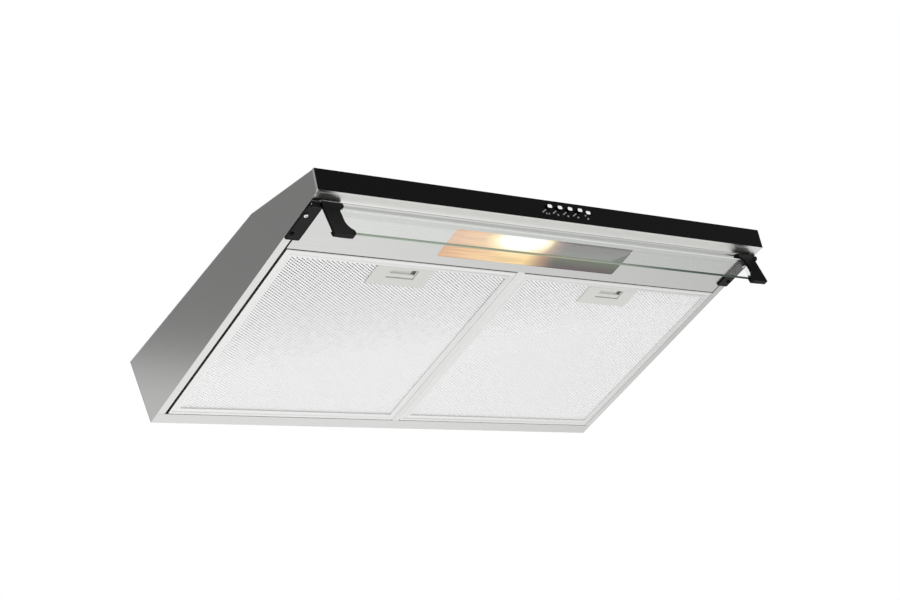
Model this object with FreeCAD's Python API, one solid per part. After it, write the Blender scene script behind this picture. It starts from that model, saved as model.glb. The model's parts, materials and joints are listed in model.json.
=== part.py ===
import FreeCAD, Part
import math
import os

# Slim wall mount range hood with a hinged glass visor and two cassette filters.
# Millimetres. The wall is the plane y = 0, the front is -Y, the underside is z = 0 and +Z is up.

# Body of folded sheet
hood_width = 900.0
hood_depth = 520.0
back_height = 115.0
knee_depth = 380.0
knee_height = 81.0
sheet = 0.8

# Fascia strip, which leans forward towards its top
fascia_height = 31.0
fascia_lean = 9.0
fascia_thick = 4.0
fascia_overhang = 1.0

# Rims and panels of the underside
front_flange = 17.5
side_rim = 13.0
rear_rim = 22.0
rim_lip = 12.0
rim_gap = 3.0
groove = 4.0
lamp_panel_depth = 91.0
panel_hook = 6.0
panel_hook_inset = 12.0
strike_lip = 4.0
divider_width = 14.0
divider_height = 12.0

# Screw holes in the back for the wall
wall_hole_r = 4.0
wall_hole_spacing = 660.0
wall_hole_height = 85.0

# Lamp
lamp_length = 360.0
lamp_width = 57.0
lamp_corner = 8.0
lamp_setback = 46.8
lamp_fit = 0.4
cover_rim = 5.0
cover_rim_thick = 1.6
reflector_height = 30.0
holder_x = 4.0
holder_r = 12.0
holder_length = 30.0
holder_foot = 16.0
bulb_cap_r = 7.0
bulb_cap_length = 18.0
bulb_cap_fit = 0.2
bulb_r = 11.0
bulb_length = 62.0
bulb_axis_height = 15.0

# Push buttons and the switch behind them
button_count = 5
button_pitch = 20.7
button_centre_x = 13.0
button_up_fascia = 21.0
button_width = 10.0
button_height = 6.0
button_proud = 4.0
button_edge = 0.6
button_cap_length = 13.0
button_stem_r = 2.5
button_stem_length = 11.0
button_travel = 3.9
button_clear = 0.3
switch_clear = 1.2
switch_depth = 18.0
switch_height = 18.0
switch_rise = 7.5
switch_margin = 14.0
switch_foot = 8.0

# Glass visor on two black arms
visor_axis_setback = 23.0
visor_axis_drop = 5.0
knuckle_r = 4.4
hinge_pin_r = 1.5
hinge_clear = 0.05
hinge_side_gap = 0.5
ear_width = 12.0
bracket_width = 24.0
bracket_length = 75.0
bracket_thick = 3.0
bracket_screw_setbacks = (25.0, 63.0)
arm_width = 36.0
arm_waist = 26.0
arm_drop = 60.0
arm_thick = 4.0
arm_front = 6.0
arm_notch_drop = 16.0
foot_height = 13.0
foot_toe = 37.0
clasp_thick = 2.0
clasp_grip = 8.0
glass_thick = 4.0
glass_edge_drop = 48.0
glass_top_drop = 6.0
glass_end_gap = 12.0
glass_clear = 0.2

# Cassette filters
filter_thick = 10.0
filter_wall = 1.0
filter_border = 13.0
filter_front_gap = 3.3
filter_rear_gap = 2.0
filter_side_gap = 1.0
mesh_thick = 0.5
mesh_seat = 10.0
tab_width = 30.0
tab_inset = 60.0
tab_reach = 8.0
tab_thick = 1.5
tab_clear = 0.3

# Latch of each filter
latch_width = 107.0
latch_shift = 8.0
latch_depth = 40.0
latch_proud = 0.3
latch_thick = 7.3
pocket_width = 51.0
pocket_depth = 28.0
pocket_front = 4.0
pocket_floor = 1.7
pad_width = 49.0
pad_depth = 18.4
pad_front_gap = 0.8
finger_width = 44.0
finger_depth = 9.0
finger_front = 1.5
finger_hollow = 4.4
neck_width = 12.0
neck_depth = 8.0
latch_clear = 0.3
latch_travel = 8.0
tongue_width = 36.0
tongue_thick = 1.0
tongue_reach = 7.0
strike_width = 30.0
strike_thick = 0.6

# Blower: a flat scroll round an upright squirrel-cage wheel
wheel_x = -175.0
wheel_from_wall = 220.0
wheel_r = 90.0
blade_depth = 15.0
blade_count = 32
blade_sweep = 14.0
blade_thick = 0.9
wheel_bottom = 25.0
wheel_height = 51.0
wheel_skin = 2.0
cup_floor_r = 46.0
cup_floor_up = 10.0
hub_r = 10.0
hub_length = 14.0
scroll_clear = 8.0
scroll_step = 14.0
scroll_wall = 2.5
scroll_floor = 14.0
floor_thick = 2.0
scroll_head = 4.0
inlet_inset = 5.0
bell_height = 6.0
post_r = 6.0
post_spread = 70.0
cover_boss_r = 5.0
cover_boss_height = 24.0

# Motor
motor_r = 40.0
motor_length = 30.0
motor_wall = 1.5
stator_r = 22.0
rotor_gap = 0.5
core_length = 16.0
shaft_r = 4.0
shaft_clear = 0.05
bearing_r = 8.0
bearing_length = 6.0
nut_r = 6.5
nut_height = 5.0

# Outlet with back-draft flaps
outlet_from_wall = 110.0
collar_r = 60.0
collar_wall = 2.0
spigot_length = 27.0
shoulder_width = 3.0
flange_r = 80.0
flange_thick = 2.0
plenum_margin = 5.0
flap_drop = 20.0
flap_thick = 1.5
flap_gap = 1.0
flap_pin_r = 1.5
flap_knuckle_r = 3.0
flap_seat = 4.0
flap_seat_clear = 0.3

# Electrical pieces inside
terminal_x = 250.0
terminal_width = 70.0
terminal_depth = 30.0
terminal_height = 40.0
terminal_up = 45.0
terminal_lid = 2.0
capacitor_r = 15.0
capacitor_length = 55.0
capacitor_x = 150.0
gland_x = 250.0
gland_from_wall = 60.0
gland_r = 9.0
gland_bore_r = 4.5
gland_flange = 3.0
gland_length = 14.0
harness_r = 3.5
harness_drop = 4.5
harness_bend = 40.0
harness_height = 62.0
harness_turn_from_wall = 330.0

# Screws, pan headed
screw_r = 1.8
screw_head_r = 3.6
screw_head = 1.6
screw_length = 8.0

V = FreeCAD.Vector
across = V(1, 0, 0)
inwards = V(0, 1, 0)
up = V(0, 0, 1)


# Plain shapes
def box(x0, x1, y0, y1, z0, z1):
    return Part.makeBox(x1 - x0, y1 - y0, z1 - z0, V(x0, y0, z0))


def rod(radius, start, direction, length):
    return Part.makeCylinder(radius, length, start, direction)


def tube(outer, inner, start, direction, length):
    return rod(outer, start, direction, length).cut(rod(inner, start, direction, length))


def polygon_prism(corners, sweep):
    wire = Part.makePolygon(corners + corners[:1])
    return Part.Face(wire).extrude(sweep)


def along_x(points, x0, x1):
    return polygon_prism([V(x0, y, z) for y, z in points], V(x1 - x0, 0, 0))


def along_y(points, y0, y1):
    return polygon_prism([V(x, y0, z) for x, z in points], V(0, y1 - y0, 0))


def turned(points, x, y):
    wire = Part.makePolygon([V(x + r, y, z) for r, z in points + points[:1]])
    return Part.Face(wire).revolve(V(x, y, 0), up, 360)


def rounded_plate(length, width, corner, x, y, z0, z1):
    plate = box(x - length / 2, x + length / 2, y - width / 2, y + width / 2, z0, z1)
    upright = [e for e in plate.Edges if abs(e.tangentAt(e.FirstParameter).z) > 0.9]
    return plate.makeFillet(corner, upright)


def fused(*shapes):
    return shapes[0].multiFuse(shapes[1:]).removeSplitter()


def oval_rod(width, height, start, length):
    end_r = height / 2
    half = width / 2 - end_r
    flat = box(start.x - half, start.x + half, start.y, start.y + length, start.z - end_r, start.z + end_r)
    ends = [rod(end_r, start + across * shift, inwards, length) for shift in (-half, half)]
    return fused(flat, *ends)


def group(shapes):
    return Part.makeCompound(shapes)


def mirrored(shape):
    return shape.mirror(V(0, 0, 0), across)


def save(name, shape):
    shape.exportStep("parts/" + name + ".step")


# Places that follow from the sizes
body_half = hood_width / 2 - fascia_overhang
inner_half = body_half - sheet
front_y = -hood_depth
lean = math.atan2(fascia_lean, fascia_height)
fascia_length = math.hypot(fascia_lean, fascia_height)
body_front = front_y + fascia_thick / math.cos(lean)
rail_rear = body_front + front_flange
panel_front = rail_rear + groove
panel_rear = panel_front + lamp_panel_depth
rim_inner = body_half - side_rim
panel_half = rim_inner - rim_gap
filter_front = panel_rear + filter_front_gap
filter_rear = -rear_rim - filter_rear_gap
filter_inner_x = divider_width / 2 + filter_side_gap
filter_x = -(panel_half + filter_inner_x) / 2
top_slope = math.atan2(back_height - knee_height, knee_depth)


def face_y(depth, rise):
    return front_y + depth * math.cos(lean) - rise * math.sin(lean)


def face_z(depth, rise):
    return depth * math.sin(lean) + rise * math.cos(lean)


def on_fascia(shape):
    placed = shape.copy()
    placed.rotate(V(0, 0, 0), across, math.degrees(lean))
    placed.translate(V(0, front_y, 0))
    return placed


top_front_y = face_y(fascia_thick, fascia_length)
top_front_z = face_z(fascia_thick, fascia_length)
roof_outer = [(top_front_y, top_front_z), (-knee_depth, knee_height), (0, back_height)]


def top_z(y):
    if y > -knee_depth:
        return knee_height + (y + knee_depth) * math.tan(top_slope)
    share = (y - top_front_y) / (-knee_depth - top_front_y)
    return top_front_z + share * (knee_height - top_front_z)


def on_top(shape, x, y):
    placed = shape.copy()
    placed.rotate(V(0, 0, 0), across, math.degrees(top_slope))
    placed.translate(V(x, y, top_z(y)))
    return placed


def under_top(x0, x1, floor):
    roof = [(y, z - sheet) for y, z in roof_outer]
    return along_x(roof + [(0, floor), (top_front_y, floor)], x0, x1)


def screw(length):
    return fused(rod(screw_r, V(0, 0, -length), up, length), rod(screw_head_r, V(0, 0, 0), up, screw_head))


# Body panels
web_top_z = top_front_z - sheet
web_top_y = body_front - web_top_z * math.tan(lean)
web_thick = sheet / math.cos(lean)
outlet_y = -outlet_from_wall
collar_bore = collar_r - collar_wall

roof_inner = [(0, back_height - sheet), (-knee_depth, knee_height - sheet), (web_top_y, web_top_z)]
top_sheet = along_x(roof_outer + roof_inner, -body_half, body_half)
top_sheet = top_sheet.cut(rod(collar_bore, V(0, outlet_y, 0), up, back_height * 2))
gland_hole = on_top(rod(gland_r, V(0, 0, -gland_length), up, gland_length * 2), gland_x, -gland_from_wall)
top_sheet = top_sheet.cut(gland_hole)

side_outline = [
    (body_front, 0),
    (web_top_y, web_top_z),
    (-knee_depth, knee_height - sheet),
    (-sheet, top_z(-sheet) - sheet),
    (-sheet, 0),
]
left_side_panel = fused(
    along_x(side_outline, -body_half, -inner_half),
    box(-inner_half, -rim_inner, rail_rear, -rear_rim, 0, sheet),
    box(-rim_inner - sheet, -rim_inner, rail_rear, -rear_rim, sheet, rim_lip),
)

back_outline = [(-sheet, 0), (0, 0), (0, back_height - sheet), (-sheet, top_z(-sheet) - sheet)]
back_panel = fused(
    along_x(back_outline, -body_half, body_half),
    box(-inner_half, inner_half, -rear_rim, -sheet, 0, sheet),
)
for side in (-1, 1):
    hole_at = V(side * wall_hole_spacing / 2, -sheet, wall_hole_height)
    back_panel = back_panel.cut(rod(wall_hole_r, hole_at, inwards, sheet))

rail_outline = [
    (body_front, 0),
    (web_top_y, web_top_z),
    (web_top_y + web_thick, web_top_z),
    (body_front + web_thick - sheet * math.tan(lean), sheet),
    (rail_rear - sheet, sheet),
    (rail_rear - sheet, rim_lip),
    (rail_rear, rim_lip),
    (rail_rear, 0),
]
front_rail = along_x(rail_outline, -inner_half, inner_half)

divider_half = divider_width / 2
filter_divider = fused(
    box(-divider_half, divider_half, panel_rear, -rear_rim, 0, sheet),
    box(-divider_half, -divider_half + sheet, panel_rear, -rear_rim, sheet, divider_height),
    box(divider_half - sheet, divider_half, panel_rear, -rear_rim, sheet, divider_height),
)

# Fascia, buttons and the switch behind them, drawn flat and then leaned
fascia_panel = box(-hood_width / 2, hood_width / 2, 0, fascia_thick, 0, fascia_length)
switch_front = button_cap_length - button_proud + button_travel + switch_clear
switch_low = button_up_fascia + switch_rise - switch_height
button_xs = [button_centre_x + (i - (button_count - 1) / 2) * button_pitch for i in range(button_count)]
switch_left = button_xs[0] - switch_margin
switch_right = button_xs[-1] + switch_margin
switch_high = switch_low + switch_height
switch_rear = switch_front + switch_depth
switch_block = fused(
    box(switch_left, switch_right, switch_front, switch_rear, switch_low, switch_high),
    *[
        box(x, x + switch_foot, fascia_thick + sheet, switch_front, switch_low, switch_high)
        for x in (switch_left, switch_right - switch_foot)
    ],
)
button_names = ("stop", "low_speed", "mid_speed", "high_speed", "lamp")
buttons = {}
for name, x in zip(button_names, button_xs):
    cap_start = V(x, -button_proud, button_up_fascia)
    stem_start = V(x, button_cap_length - button_proud, button_up_fascia)
    cap = oval_rod(button_width, button_height, cap_start, button_cap_length)
    rim = [e for e in cap.Edges if e.BoundBox.YMax < cap_start.y + button_edge / 2]
    cap = cap.makeFillet(button_edge, rim)
    buttons[name] = fused(cap, rod(button_stem_r, stem_start, inwards, button_stem_length))
    passage = oval_rod(
        button_width + 2 * button_clear,
        button_height + 2 * button_clear,
        V(x, 0, button_up_fascia),
        switch_front,
    )
    fascia_panel = fascia_panel.cut(passage)
    front_rail = front_rail.cut(on_fascia(passage))
    bore_length = button_stem_length + button_travel
    switch_block = switch_block.cut(rod(button_stem_r + button_clear, stem_start, inwards, bore_length))
# The lamp is lit, so its button is latched in
buttons["lamp"].translate(inwards * button_travel)

# Lamp panel with its cover, reflector, holder and bulb
lamp_y = panel_front + lamp_setback
cover_top = sheet + cover_rim_thick
lamp_panel = fused(
    box(-panel_half, panel_half, panel_front, panel_rear, 0, sheet),
    box(-panel_half, panel_half, panel_front, panel_front + sheet, sheet, rim_lip),
    box(-panel_half, panel_half, panel_rear - sheet, panel_rear, sheet, strike_lip),
    *[
        box(min(a, b), max(a, b), panel_front + panel_hook_inset, panel_rear - panel_hook_inset, low, high)
        for side in (-1, 1)
        for a, b, low, high in (
            (side * panel_half, side * (panel_half - sheet), sheet, rim_lip),
            (side * (panel_half - sheet), side * (rim_inner + panel_hook), rim_lip, rim_lip + sheet),
        )
    ],
)
lamp_panel = lamp_panel.cut(rounded_plate(lamp_length, lamp_width, lamp_corner, 0, lamp_y, 0, sheet))
cover_length = lamp_length + 2 * cover_rim
cover_width = lamp_width + 2 * cover_rim
lens_corner = lamp_corner - lamp_fit
lamp_cover = fused(
    rounded_plate(lamp_length - 2 * lamp_fit, lamp_width - 2 * lamp_fit, lens_corner, 0, lamp_y, 0, sheet),
    rounded_plate(cover_length, cover_width, lamp_corner + cover_rim, 0, lamp_y, sheet, cover_top),
)
reflector_top = cover_top + reflector_height
lamp_reflector = rounded_plate(
    cover_length, cover_width, lamp_corner + cover_rim, 0, lamp_y, cover_top, reflector_top
)
lamp_reflector = lamp_reflector.cut(
    rounded_plate(
        cover_length - 2 * sheet,
        cover_width - 2 * sheet,
        lamp_corner + cover_rim - sheet,
        0,
        lamp_y,
        cover_top,
        reflector_top - sheet,
    )
)
bulb_z = cover_top + bulb_axis_height
socket_r = bulb_cap_r + bulb_cap_fit
lamp_holder = fused(
    rod(holder_r, V(holder_x, lamp_y, bulb_z), across, holder_length),
    box(
        holder_x,
        holder_x + holder_length,
        lamp_y - holder_foot / 2,
        lamp_y + holder_foot / 2,
        bulb_z,
        reflector_top - sheet,
    ),
)
lamp_holder = lamp_holder.cut(rod(socket_r, V(holder_x, lamp_y, bulb_z), across, bulb_cap_length))
bulb_cap = rod(bulb_cap_r, V(holder_x, lamp_y, bulb_z), across, bulb_cap_length)
bulb_straight = bulb_length - bulb_r
bulb_glass = fused(
    rod(bulb_r, V(holder_x - bulb_straight, lamp_y, bulb_z), across, bulb_straight),
    Part.makeSphere(bulb_r, V(holder_x - bulb_straight, lamp_y, bulb_z)),
)

# Glass visor: fixed brackets, pins, arms and the pane
axis_y = front_y + visor_axis_setback
axis_z = -visor_axis_drop
ear_inner = -body_half + ear_width
bracket_front = axis_y + knuckle_r + hinge_side_gap
left_visor_bracket = fused(
    box(
        -body_half,
        -body_half + bracket_width,
        bracket_front,
        axis_y + bracket_length,
        -bracket_thick,
        0,
    ),
    box(-body_half, ear_inner, axis_y, bracket_front, axis_z, 0),
    rod(knuckle_r, V(-body_half, axis_y, axis_z), across, ear_width),
)
left_visor_bracket = left_visor_bracket.cut(
    rod(hinge_pin_r, V(-body_half, axis_y, axis_z), across, ear_width)
)
bracket_screws = []
for setback in bracket_screw_setbacks:
    seat = V(-body_half + side_rim / 2, axis_y + setback, -bracket_thick)
    fastener = screw(screw_length)
    fastener.rotate(V(0, 0, 0), across, 180)
    fastener.translate(seat)
    bracket_screws.append(fastener)
    hole = rod(screw_r, seat, up, screw_length)
    left_visor_bracket = left_visor_bracket.cut(hole)
    left_side_panel = left_side_panel.cut(hole)

arm_outer = ear_inner + hinge_side_gap
arm_inner = arm_outer + arm_width
arm_top = axis_z + arm_front - arm_thick
arm_low = axis_z - arm_drop
foot_top = arm_low + foot_height
toe_x = arm_outer + foot_toe
waist_x = arm_outer + arm_waist
arm_outline = [
    (arm_outer, arm_top),
    (arm_inner, arm_top),
    (arm_inner, axis_z - knuckle_r),
    (waist_x, axis_z - arm_notch_drop),
    (waist_x, foot_top + foot_height / 2),
    (toe_x - foot_height / 2, foot_top),
    (toe_x, foot_top - foot_height / 3),
    (toe_x, arm_low + foot_height / 3),
    (toe_x - foot_height / 3, arm_low),
    (arm_outer, arm_low),
]
arm_back = axis_y - arm_front + arm_thick
glass_half = -(arm_outer + glass_end_gap)
glass_low = axis_z - glass_edge_drop
glass_high = axis_z - glass_top_drop
visor_glass = box(-glass_half, glass_half, arm_back, arm_back + glass_thick, glass_low, glass_high)
clasp_rear = arm_back + glass_thick + glass_clear + clasp_thick
clasp = along_y(arm_outline, arm_back, clasp_rear).common(
    box(-glass_half + glass_clear, toe_x, arm_back, clasp_rear, arm_low, glass_low + clasp_grip)
)
glass_slot = box(
    -glass_half,
    toe_x,
    arm_back,
    arm_back + glass_thick + glass_clear,
    glass_low - glass_clear,
    glass_high,
)
left_visor_arm = fused(
    along_y(arm_outline, axis_y - arm_front, arm_back),
    rod(knuckle_r, V(arm_outer, axis_y, axis_z), across, arm_width),
    clasp.cut(glass_slot),
)
left_visor_arm = left_visor_arm.cut(
    rod(hinge_pin_r + hinge_clear, V(arm_outer, axis_y, axis_z), across, arm_width)
)
left_hinge_pin = rod(hinge_pin_r, V(-body_half, axis_y, axis_z), across, arm_inner + body_half)

# Left cassette filter with its rear tabs
filter_left = -panel_half
filter_right = -filter_inner_x


def filter_block(inset, z0, z1):
    return box(
        filter_left + inset, filter_right - inset, filter_front + inset, filter_rear - inset, z0, z1
    )


left_filter_frame = filter_block(0, 0, filter_thick)
left_filter_frame = left_filter_frame.cut(filter_block(filter_border, 0, filter_thick))
left_filter_frame = left_filter_frame.cut(filter_block(filter_wall, filter_wall, filter_thick - filter_wall))
tab_low = sheet + tab_clear
for x in (filter_left + tab_inset, filter_right - tab_inset - tab_width):
    tab = box(
        x, x + tab_width, filter_rear - filter_wall, -rear_rim + tab_reach, tab_low, tab_low + tab_thick
    )
    left_filter_frame = left_filter_frame.fuse(tab)
left_filter_frame = left_filter_frame.removeSplitter()

# Latch plate, slider and the leaf that the tongue snaps over
latch_x = filter_x + latch_shift
latch_front = filter_front + filter_border
latch_low = -latch_proud
latch_top = latch_low + latch_thick
floor_z = latch_top - pocket_floor
plate_box = box(
    latch_x - latch_width / 2,
    latch_x + latch_width / 2,
    latch_front,
    latch_front + latch_depth,
    latch_low,
    latch_top,
)
pocket_y = latch_front + pocket_front
pocket = box(
    latch_x - pocket_width / 2,
    latch_x + pocket_width / 2,
    pocket_y,
    pocket_y + pocket_depth,
    latch_low,
    floor_z,
)
pad_y = pocket_y + pad_front_gap
neck_y = pad_y + (pad_depth - neck_depth) / 2
neck_slot = box(
    latch_x - neck_width / 2 - latch_clear,
    latch_x + neck_width / 2 + latch_clear,
    neck_y - latch_clear,
    neck_y + neck_depth + latch_travel + latch_clear,
    floor_z,
    latch_top,
)
left_latch_plate = plate_box.cut(pocket).cut(neck_slot)

tongue_low = latch_top + latch_clear
tongue_high = tongue_low + tongue_thick
tongue_tip = filter_front - tongue_reach
pad_low = latch_low + latch_clear
pad = box(
    latch_x - pad_width / 2,
    latch_x + pad_width / 2,
    pad_y,
    pad_y + pad_depth,
    pad_low,
    floor_z - latch_clear,
)
finger = box(
    latch_x - finger_width / 2,
    latch_x + finger_width / 2,
    pad_y + finger_front,
    pad_y + finger_front + finger_depth,
    pad_low,
    pad_low + finger_hollow,
)
left_latch_slider = fused(
    pad.cut(finger),
    box(
        latch_x - neck_width / 2,
        latch_x + neck_width / 2,
        neck_y,
        neck_y + neck_depth,
        floor_z - latch_clear,
        tongue_low,
    ),
    box(
        latch_x - tongue_width / 2,
        latch_x + tongue_width / 2,
        tongue_tip,
        neck_y + neck_depth,
        tongue_low,
        tongue_high,
    ),
)
tongue_slot = box(
    latch_x - tongue_width / 2 - latch_clear,
    latch_x + tongue_width / 2 + latch_clear,
    filter_front,
    filter_front + filter_wall,
    tongue_low - latch_clear,
    tongue_high + latch_clear,
)
left_filter_frame = left_filter_frame.cut(tongue_slot)
left_strike_clip = box(
    latch_x - strike_width / 2,
    latch_x + strike_width / 2,
    panel_rear - sheet - strike_thick,
    panel_rear - sheet,
    sheet,
    tongue_low - latch_clear,
)

mesh_inset = filter_border - mesh_seat
lower_mesh = filter_block(mesh_inset, filter_wall, filter_wall + mesh_thick).cut(plate_box)
upper_mesh = filter_block(mesh_inset, filter_thick - filter_wall - mesh_thick, filter_thick - filter_wall)
left_filter_mesh = group([lower_mesh, upper_mesh])

# Blower scroll: four quarter arcs whose radius grows by one step each
wheel_y = -wheel_from_wall
blade_inner_r = wheel_r - blade_depth
inlet_r = blade_inner_r - inlet_inset
wheel_top = wheel_bottom + wheel_height
ceiling = wheel_top + scroll_head
scroll_base = scroll_floor + floor_thick
plenum_half = collar_r + plenum_margin


def scroll_prism(grow, z0, z1):
    edges = []
    half = scroll_step / 2
    centres = ((half, -half), (-half, -half), (-half, half), (half, half))
    for quarter, (cx, cy) in enumerate(centres):
        radius = wheel_r + scroll_clear + quarter * scroll_step + grow
        points = []
        for turn in (0, 45, 90):
            angle = math.radians(90 - 90 * quarter - turn)
            x = wheel_x + cx + radius * math.cos(angle)
            y = wheel_y + cy + radius * math.sin(angle)
            points.append(V(x, y, z0))
        edges.append(Part.Arc(*points).toShape())
    start = edges[0].Vertexes[0].Point
    end = edges[-1].Vertexes[-1].Point
    edges.append(Part.LineSegment(end, start).toShape())
    return Part.Face(Part.Wire(edges)).extrude(V(0, 0, z1 - z0))


throat_low = wheel_y + wheel_r + scroll_clear - scroll_step / 2
throat_high = throat_low + 4 * scroll_step
throat_x = wheel_x + scroll_step / 2


def blower_room(grow, z0, z1, plenum_top):
    throat = box(throat_x, -plenum_half, throat_low - grow, throat_high + grow, z0, z1)
    plenum = box(
        -plenum_half - grow,
        plenum_half + grow,
        outlet_y - plenum_half - grow,
        outlet_y + plenum_half + grow,
        z0,
        plenum_top,
    )
    return fused(scroll_prism(grow, z0, z1), throat, plenum)


boss_places = [
    (wheel_x - wheel_r, wheel_y - wheel_r - cover_boss_r),
    (wheel_x + wheel_r, wheel_y - wheel_r - cover_boss_r / 2),
    (plenum_half + scroll_wall + cover_boss_r, outlet_y - plenum_half + cover_boss_r),
    (plenum_half + scroll_wall + cover_boss_r, outlet_y + plenum_half - cover_boss_r),
]
bosses = [rod(cover_boss_r, V(x, y, scroll_base), up, cover_boss_height) for x, y in boss_places]
boss_top = scroll_base + cover_boss_height
web_half = scroll_wall / 2
boss_webs = [
    box(x - cover_boss_r, x, y - web_half, y + web_half, scroll_base, boss_top) for x, y in boss_places[2:]
]
boss_webs += [
    box(x - web_half, x + web_half, y, wheel_y, scroll_base, boss_top) for x, y in boss_places[:2]
]
post_places = [
    (wheel_x + post_spread * math.cos(math.radians(a)), wheel_y + post_spread * math.sin(math.radians(a)))
    for a in (30, 150, 270)
]
posts = [rod(post_r, V(x, y, ceiling), up, back_height) for x, y in post_places]
blower_inside = blower_room(0, scroll_base, ceiling, back_height)
blower_housing = fused(
    blower_room(scroll_wall, scroll_base, ceiling + scroll_wall, back_height), *bosses, *boss_webs, *posts
)
blower_housing = blower_housing.cut(blower_inside)
blower_housing = blower_housing.common(under_top(-body_half, body_half, scroll_floor))

cover_plate = blower_room(scroll_wall, scroll_floor, scroll_base, scroll_base)
cover_ears = [rod(cover_boss_r, V(x, y, scroll_floor), up, floor_thick) for x, y in boss_places]
cover_webs = [
    box(x - cover_boss_r, x, y - scroll_wall, y + scroll_wall, scroll_floor, scroll_base)
    for x, y in boss_places[2:]
]
cover_webs += [
    box(x - scroll_wall, x + scroll_wall, y, wheel_y, scroll_floor, scroll_base) for x, y in boss_places[:2]
]
bell = tube(inlet_r + floor_thick, inlet_r, V(wheel_x, wheel_y, scroll_base), up, bell_height)
inlet_hole = rod(inlet_r, V(wheel_x, wheel_y, scroll_floor), up, floor_thick)
blower_cover = fused(cover_plate, *cover_ears, *cover_webs).cut(inlet_hole)
blower_cover = fused(blower_cover, bell)
blower_screws = []
for x, y in boss_places:
    fastener = screw(screw_length)
    fastener.rotate(V(0, 0, 0), across, 180)
    fastener.translate(V(x, y, scroll_floor))
    blower_screws.append(fastener)
    hole = rod(screw_r, V(x, y, scroll_floor), up, screw_length)
    blower_cover = blower_cover.cut(hole)
    blower_housing = blower_housing.cut(hole)
for x, y in post_places:
    blower_screws.append(on_top(screw(screw_length), x, y))
    hole = on_top(rod(screw_r, V(0, 0, -screw_length), up, screw_length), x, y)
    top_sheet = top_sheet.cut(hole)
    blower_housing = blower_housing.cut(hole)

# Motor and wheel on one upright shaft
motor_base = ceiling - motor_length
bearing_high = ceiling - bearing_length
motor_can = rod(motor_r, V(wheel_x, wheel_y, motor_base), up, motor_length)
motor_hollow = rod(
    motor_r - motor_wall,
    V(wheel_x, wheel_y, motor_base + motor_wall),
    up,
    motor_length - 2 * motor_wall,
)
bearing_bore = rod(bearing_r, V(wheel_x, wheel_y, motor_base), up, motor_length)
motor_case = motor_can.cut(motor_hollow).cut(bearing_bore)
motor_bearings = group(
    [
        tube(bearing_r, shaft_r + shaft_clear, V(wheel_x, wheel_y, z), up, bearing_length)
        for z in (motor_base, bearing_high)
    ]
)
core_base = motor_base + (motor_length - core_length) / 2
core_at = V(wheel_x, wheel_y, core_base)
motor_stator = tube(motor_r - motor_wall, stator_r, core_at, up, core_length)
motor_rotor = tube(stator_r - rotor_gap, shaft_r, core_at, up, core_length)
hub_base = wheel_bottom + cup_floor_up - (hub_length - wheel_skin) / 2
shaft_base = hub_base - nut_height
motor_shaft = rod(shaft_r, V(wheel_x, wheel_y, shaft_base), up, ceiling - shaft_base - rotor_gap)
nut_corners = [
    V(
        wheel_x + nut_r * math.cos(math.radians(60 * i)),
        wheel_y + nut_r * math.sin(math.radians(60 * i)),
        shaft_base,
    )
    for i in range(6)
]
wheel_nut = polygon_prism(nut_corners, V(0, 0, nut_height))
wheel_nut = wheel_nut.cut(rod(shaft_r, V(wheel_x, wheel_y, shaft_base), up, nut_height))
cup_z = wheel_bottom + cup_floor_up
cup = turned(
    [
        (shaft_r, hub_base),
        (hub_r, hub_base),
        (hub_r, cup_z),
        (cup_floor_r, cup_z),
        (blade_inner_r, wheel_top - wheel_skin),
        (wheel_r, wheel_top - wheel_skin),
        (wheel_r, wheel_top),
        (blade_inner_r - wheel_skin, wheel_top),
        (cup_floor_r - wheel_skin, cup_z + wheel_skin),
        (hub_r, cup_z + wheel_skin),
        (hub_r, hub_base + hub_length),
        (shaft_r, hub_base + hub_length),
    ],
    wheel_x,
    wheel_y,
)
lower_ring = tube(wheel_r, blade_inner_r, V(wheel_x, wheel_y, wheel_bottom), up, wheel_skin)


def blade_point(radius, angle):
    turn = math.radians(angle)
    return V(wheel_x + radius * math.cos(turn), wheel_y + radius * math.sin(turn), wheel_bottom)


blade_middle_r = (wheel_r + blade_inner_r) / 2
blade_spread = math.degrees(blade_thick / blade_middle_r)
blades = []
for i in range(blade_count):
    first = 360 / blade_count * i
    outline = []
    for radius, swept in ((blade_inner_r, 0), (blade_middle_r, blade_sweep / 4), (wheel_r, blade_sweep)):
        outline.append((radius, first + swept))
    face_a = [blade_point(r, a) for r, a in outline]
    face_b = [blade_point(r, a + blade_spread) for r, a in outline]
    wire = Part.Wire(
        [
            Part.Arc(*face_a).toShape(),
            Part.LineSegment(face_a[2], face_b[2]).toShape(),
            Part.Arc(*reversed(face_b)).toShape(),
            Part.LineSegment(face_b[0], face_a[0]).toShape(),
        ]
    )
    blades.append(Part.Face(wire).extrude(V(0, 0, wheel_height - wheel_skin / 2)))
blower_wheel = fused(cup, lower_ring, *blades)

# Outlet collar with two flaps on one pin
shoulder_z = top_z(outlet_y + flange_r) + flange_thick / math.cos(top_slope)
collar_top = shoulder_z + spigot_length
below_roof = along_x(roof_outer + [(0, 0), (top_front_y, 0)], -body_half, body_half)
collar_tube = fused(
    rod(collar_r, V(0, outlet_y, knee_height), up, collar_top - knee_height),
    rod(collar_r + shoulder_width, V(0, outlet_y, knee_height), up, shoulder_z - knee_height),
).cut(below_roof)
collar_flange = on_top(rod(flange_r, V(0, 0, 0), up, flange_thick), 0, outlet_y)
flap_z = collar_top - flap_drop
seat_high = flap_z - flap_thick / 2 - flap_seat_clear
outlet_collar = fused(collar_tube, collar_flange)
outlet_collar = outlet_collar.cut(rod(collar_bore, V(0, outlet_y, 0), up, collar_top))
seat_at = V(0, outlet_y, seat_high - flap_seat / 2)
seat_ring = tube(collar_r, collar_bore - flap_seat, seat_at, up, flap_seat / 2)
outlet_collar = fused(outlet_collar, seat_ring)
pin_start = V(0, outlet_y - collar_r, flap_z)
flap_pin = rod(flap_pin_r, pin_start, inwards, 2 * collar_r)
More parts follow.
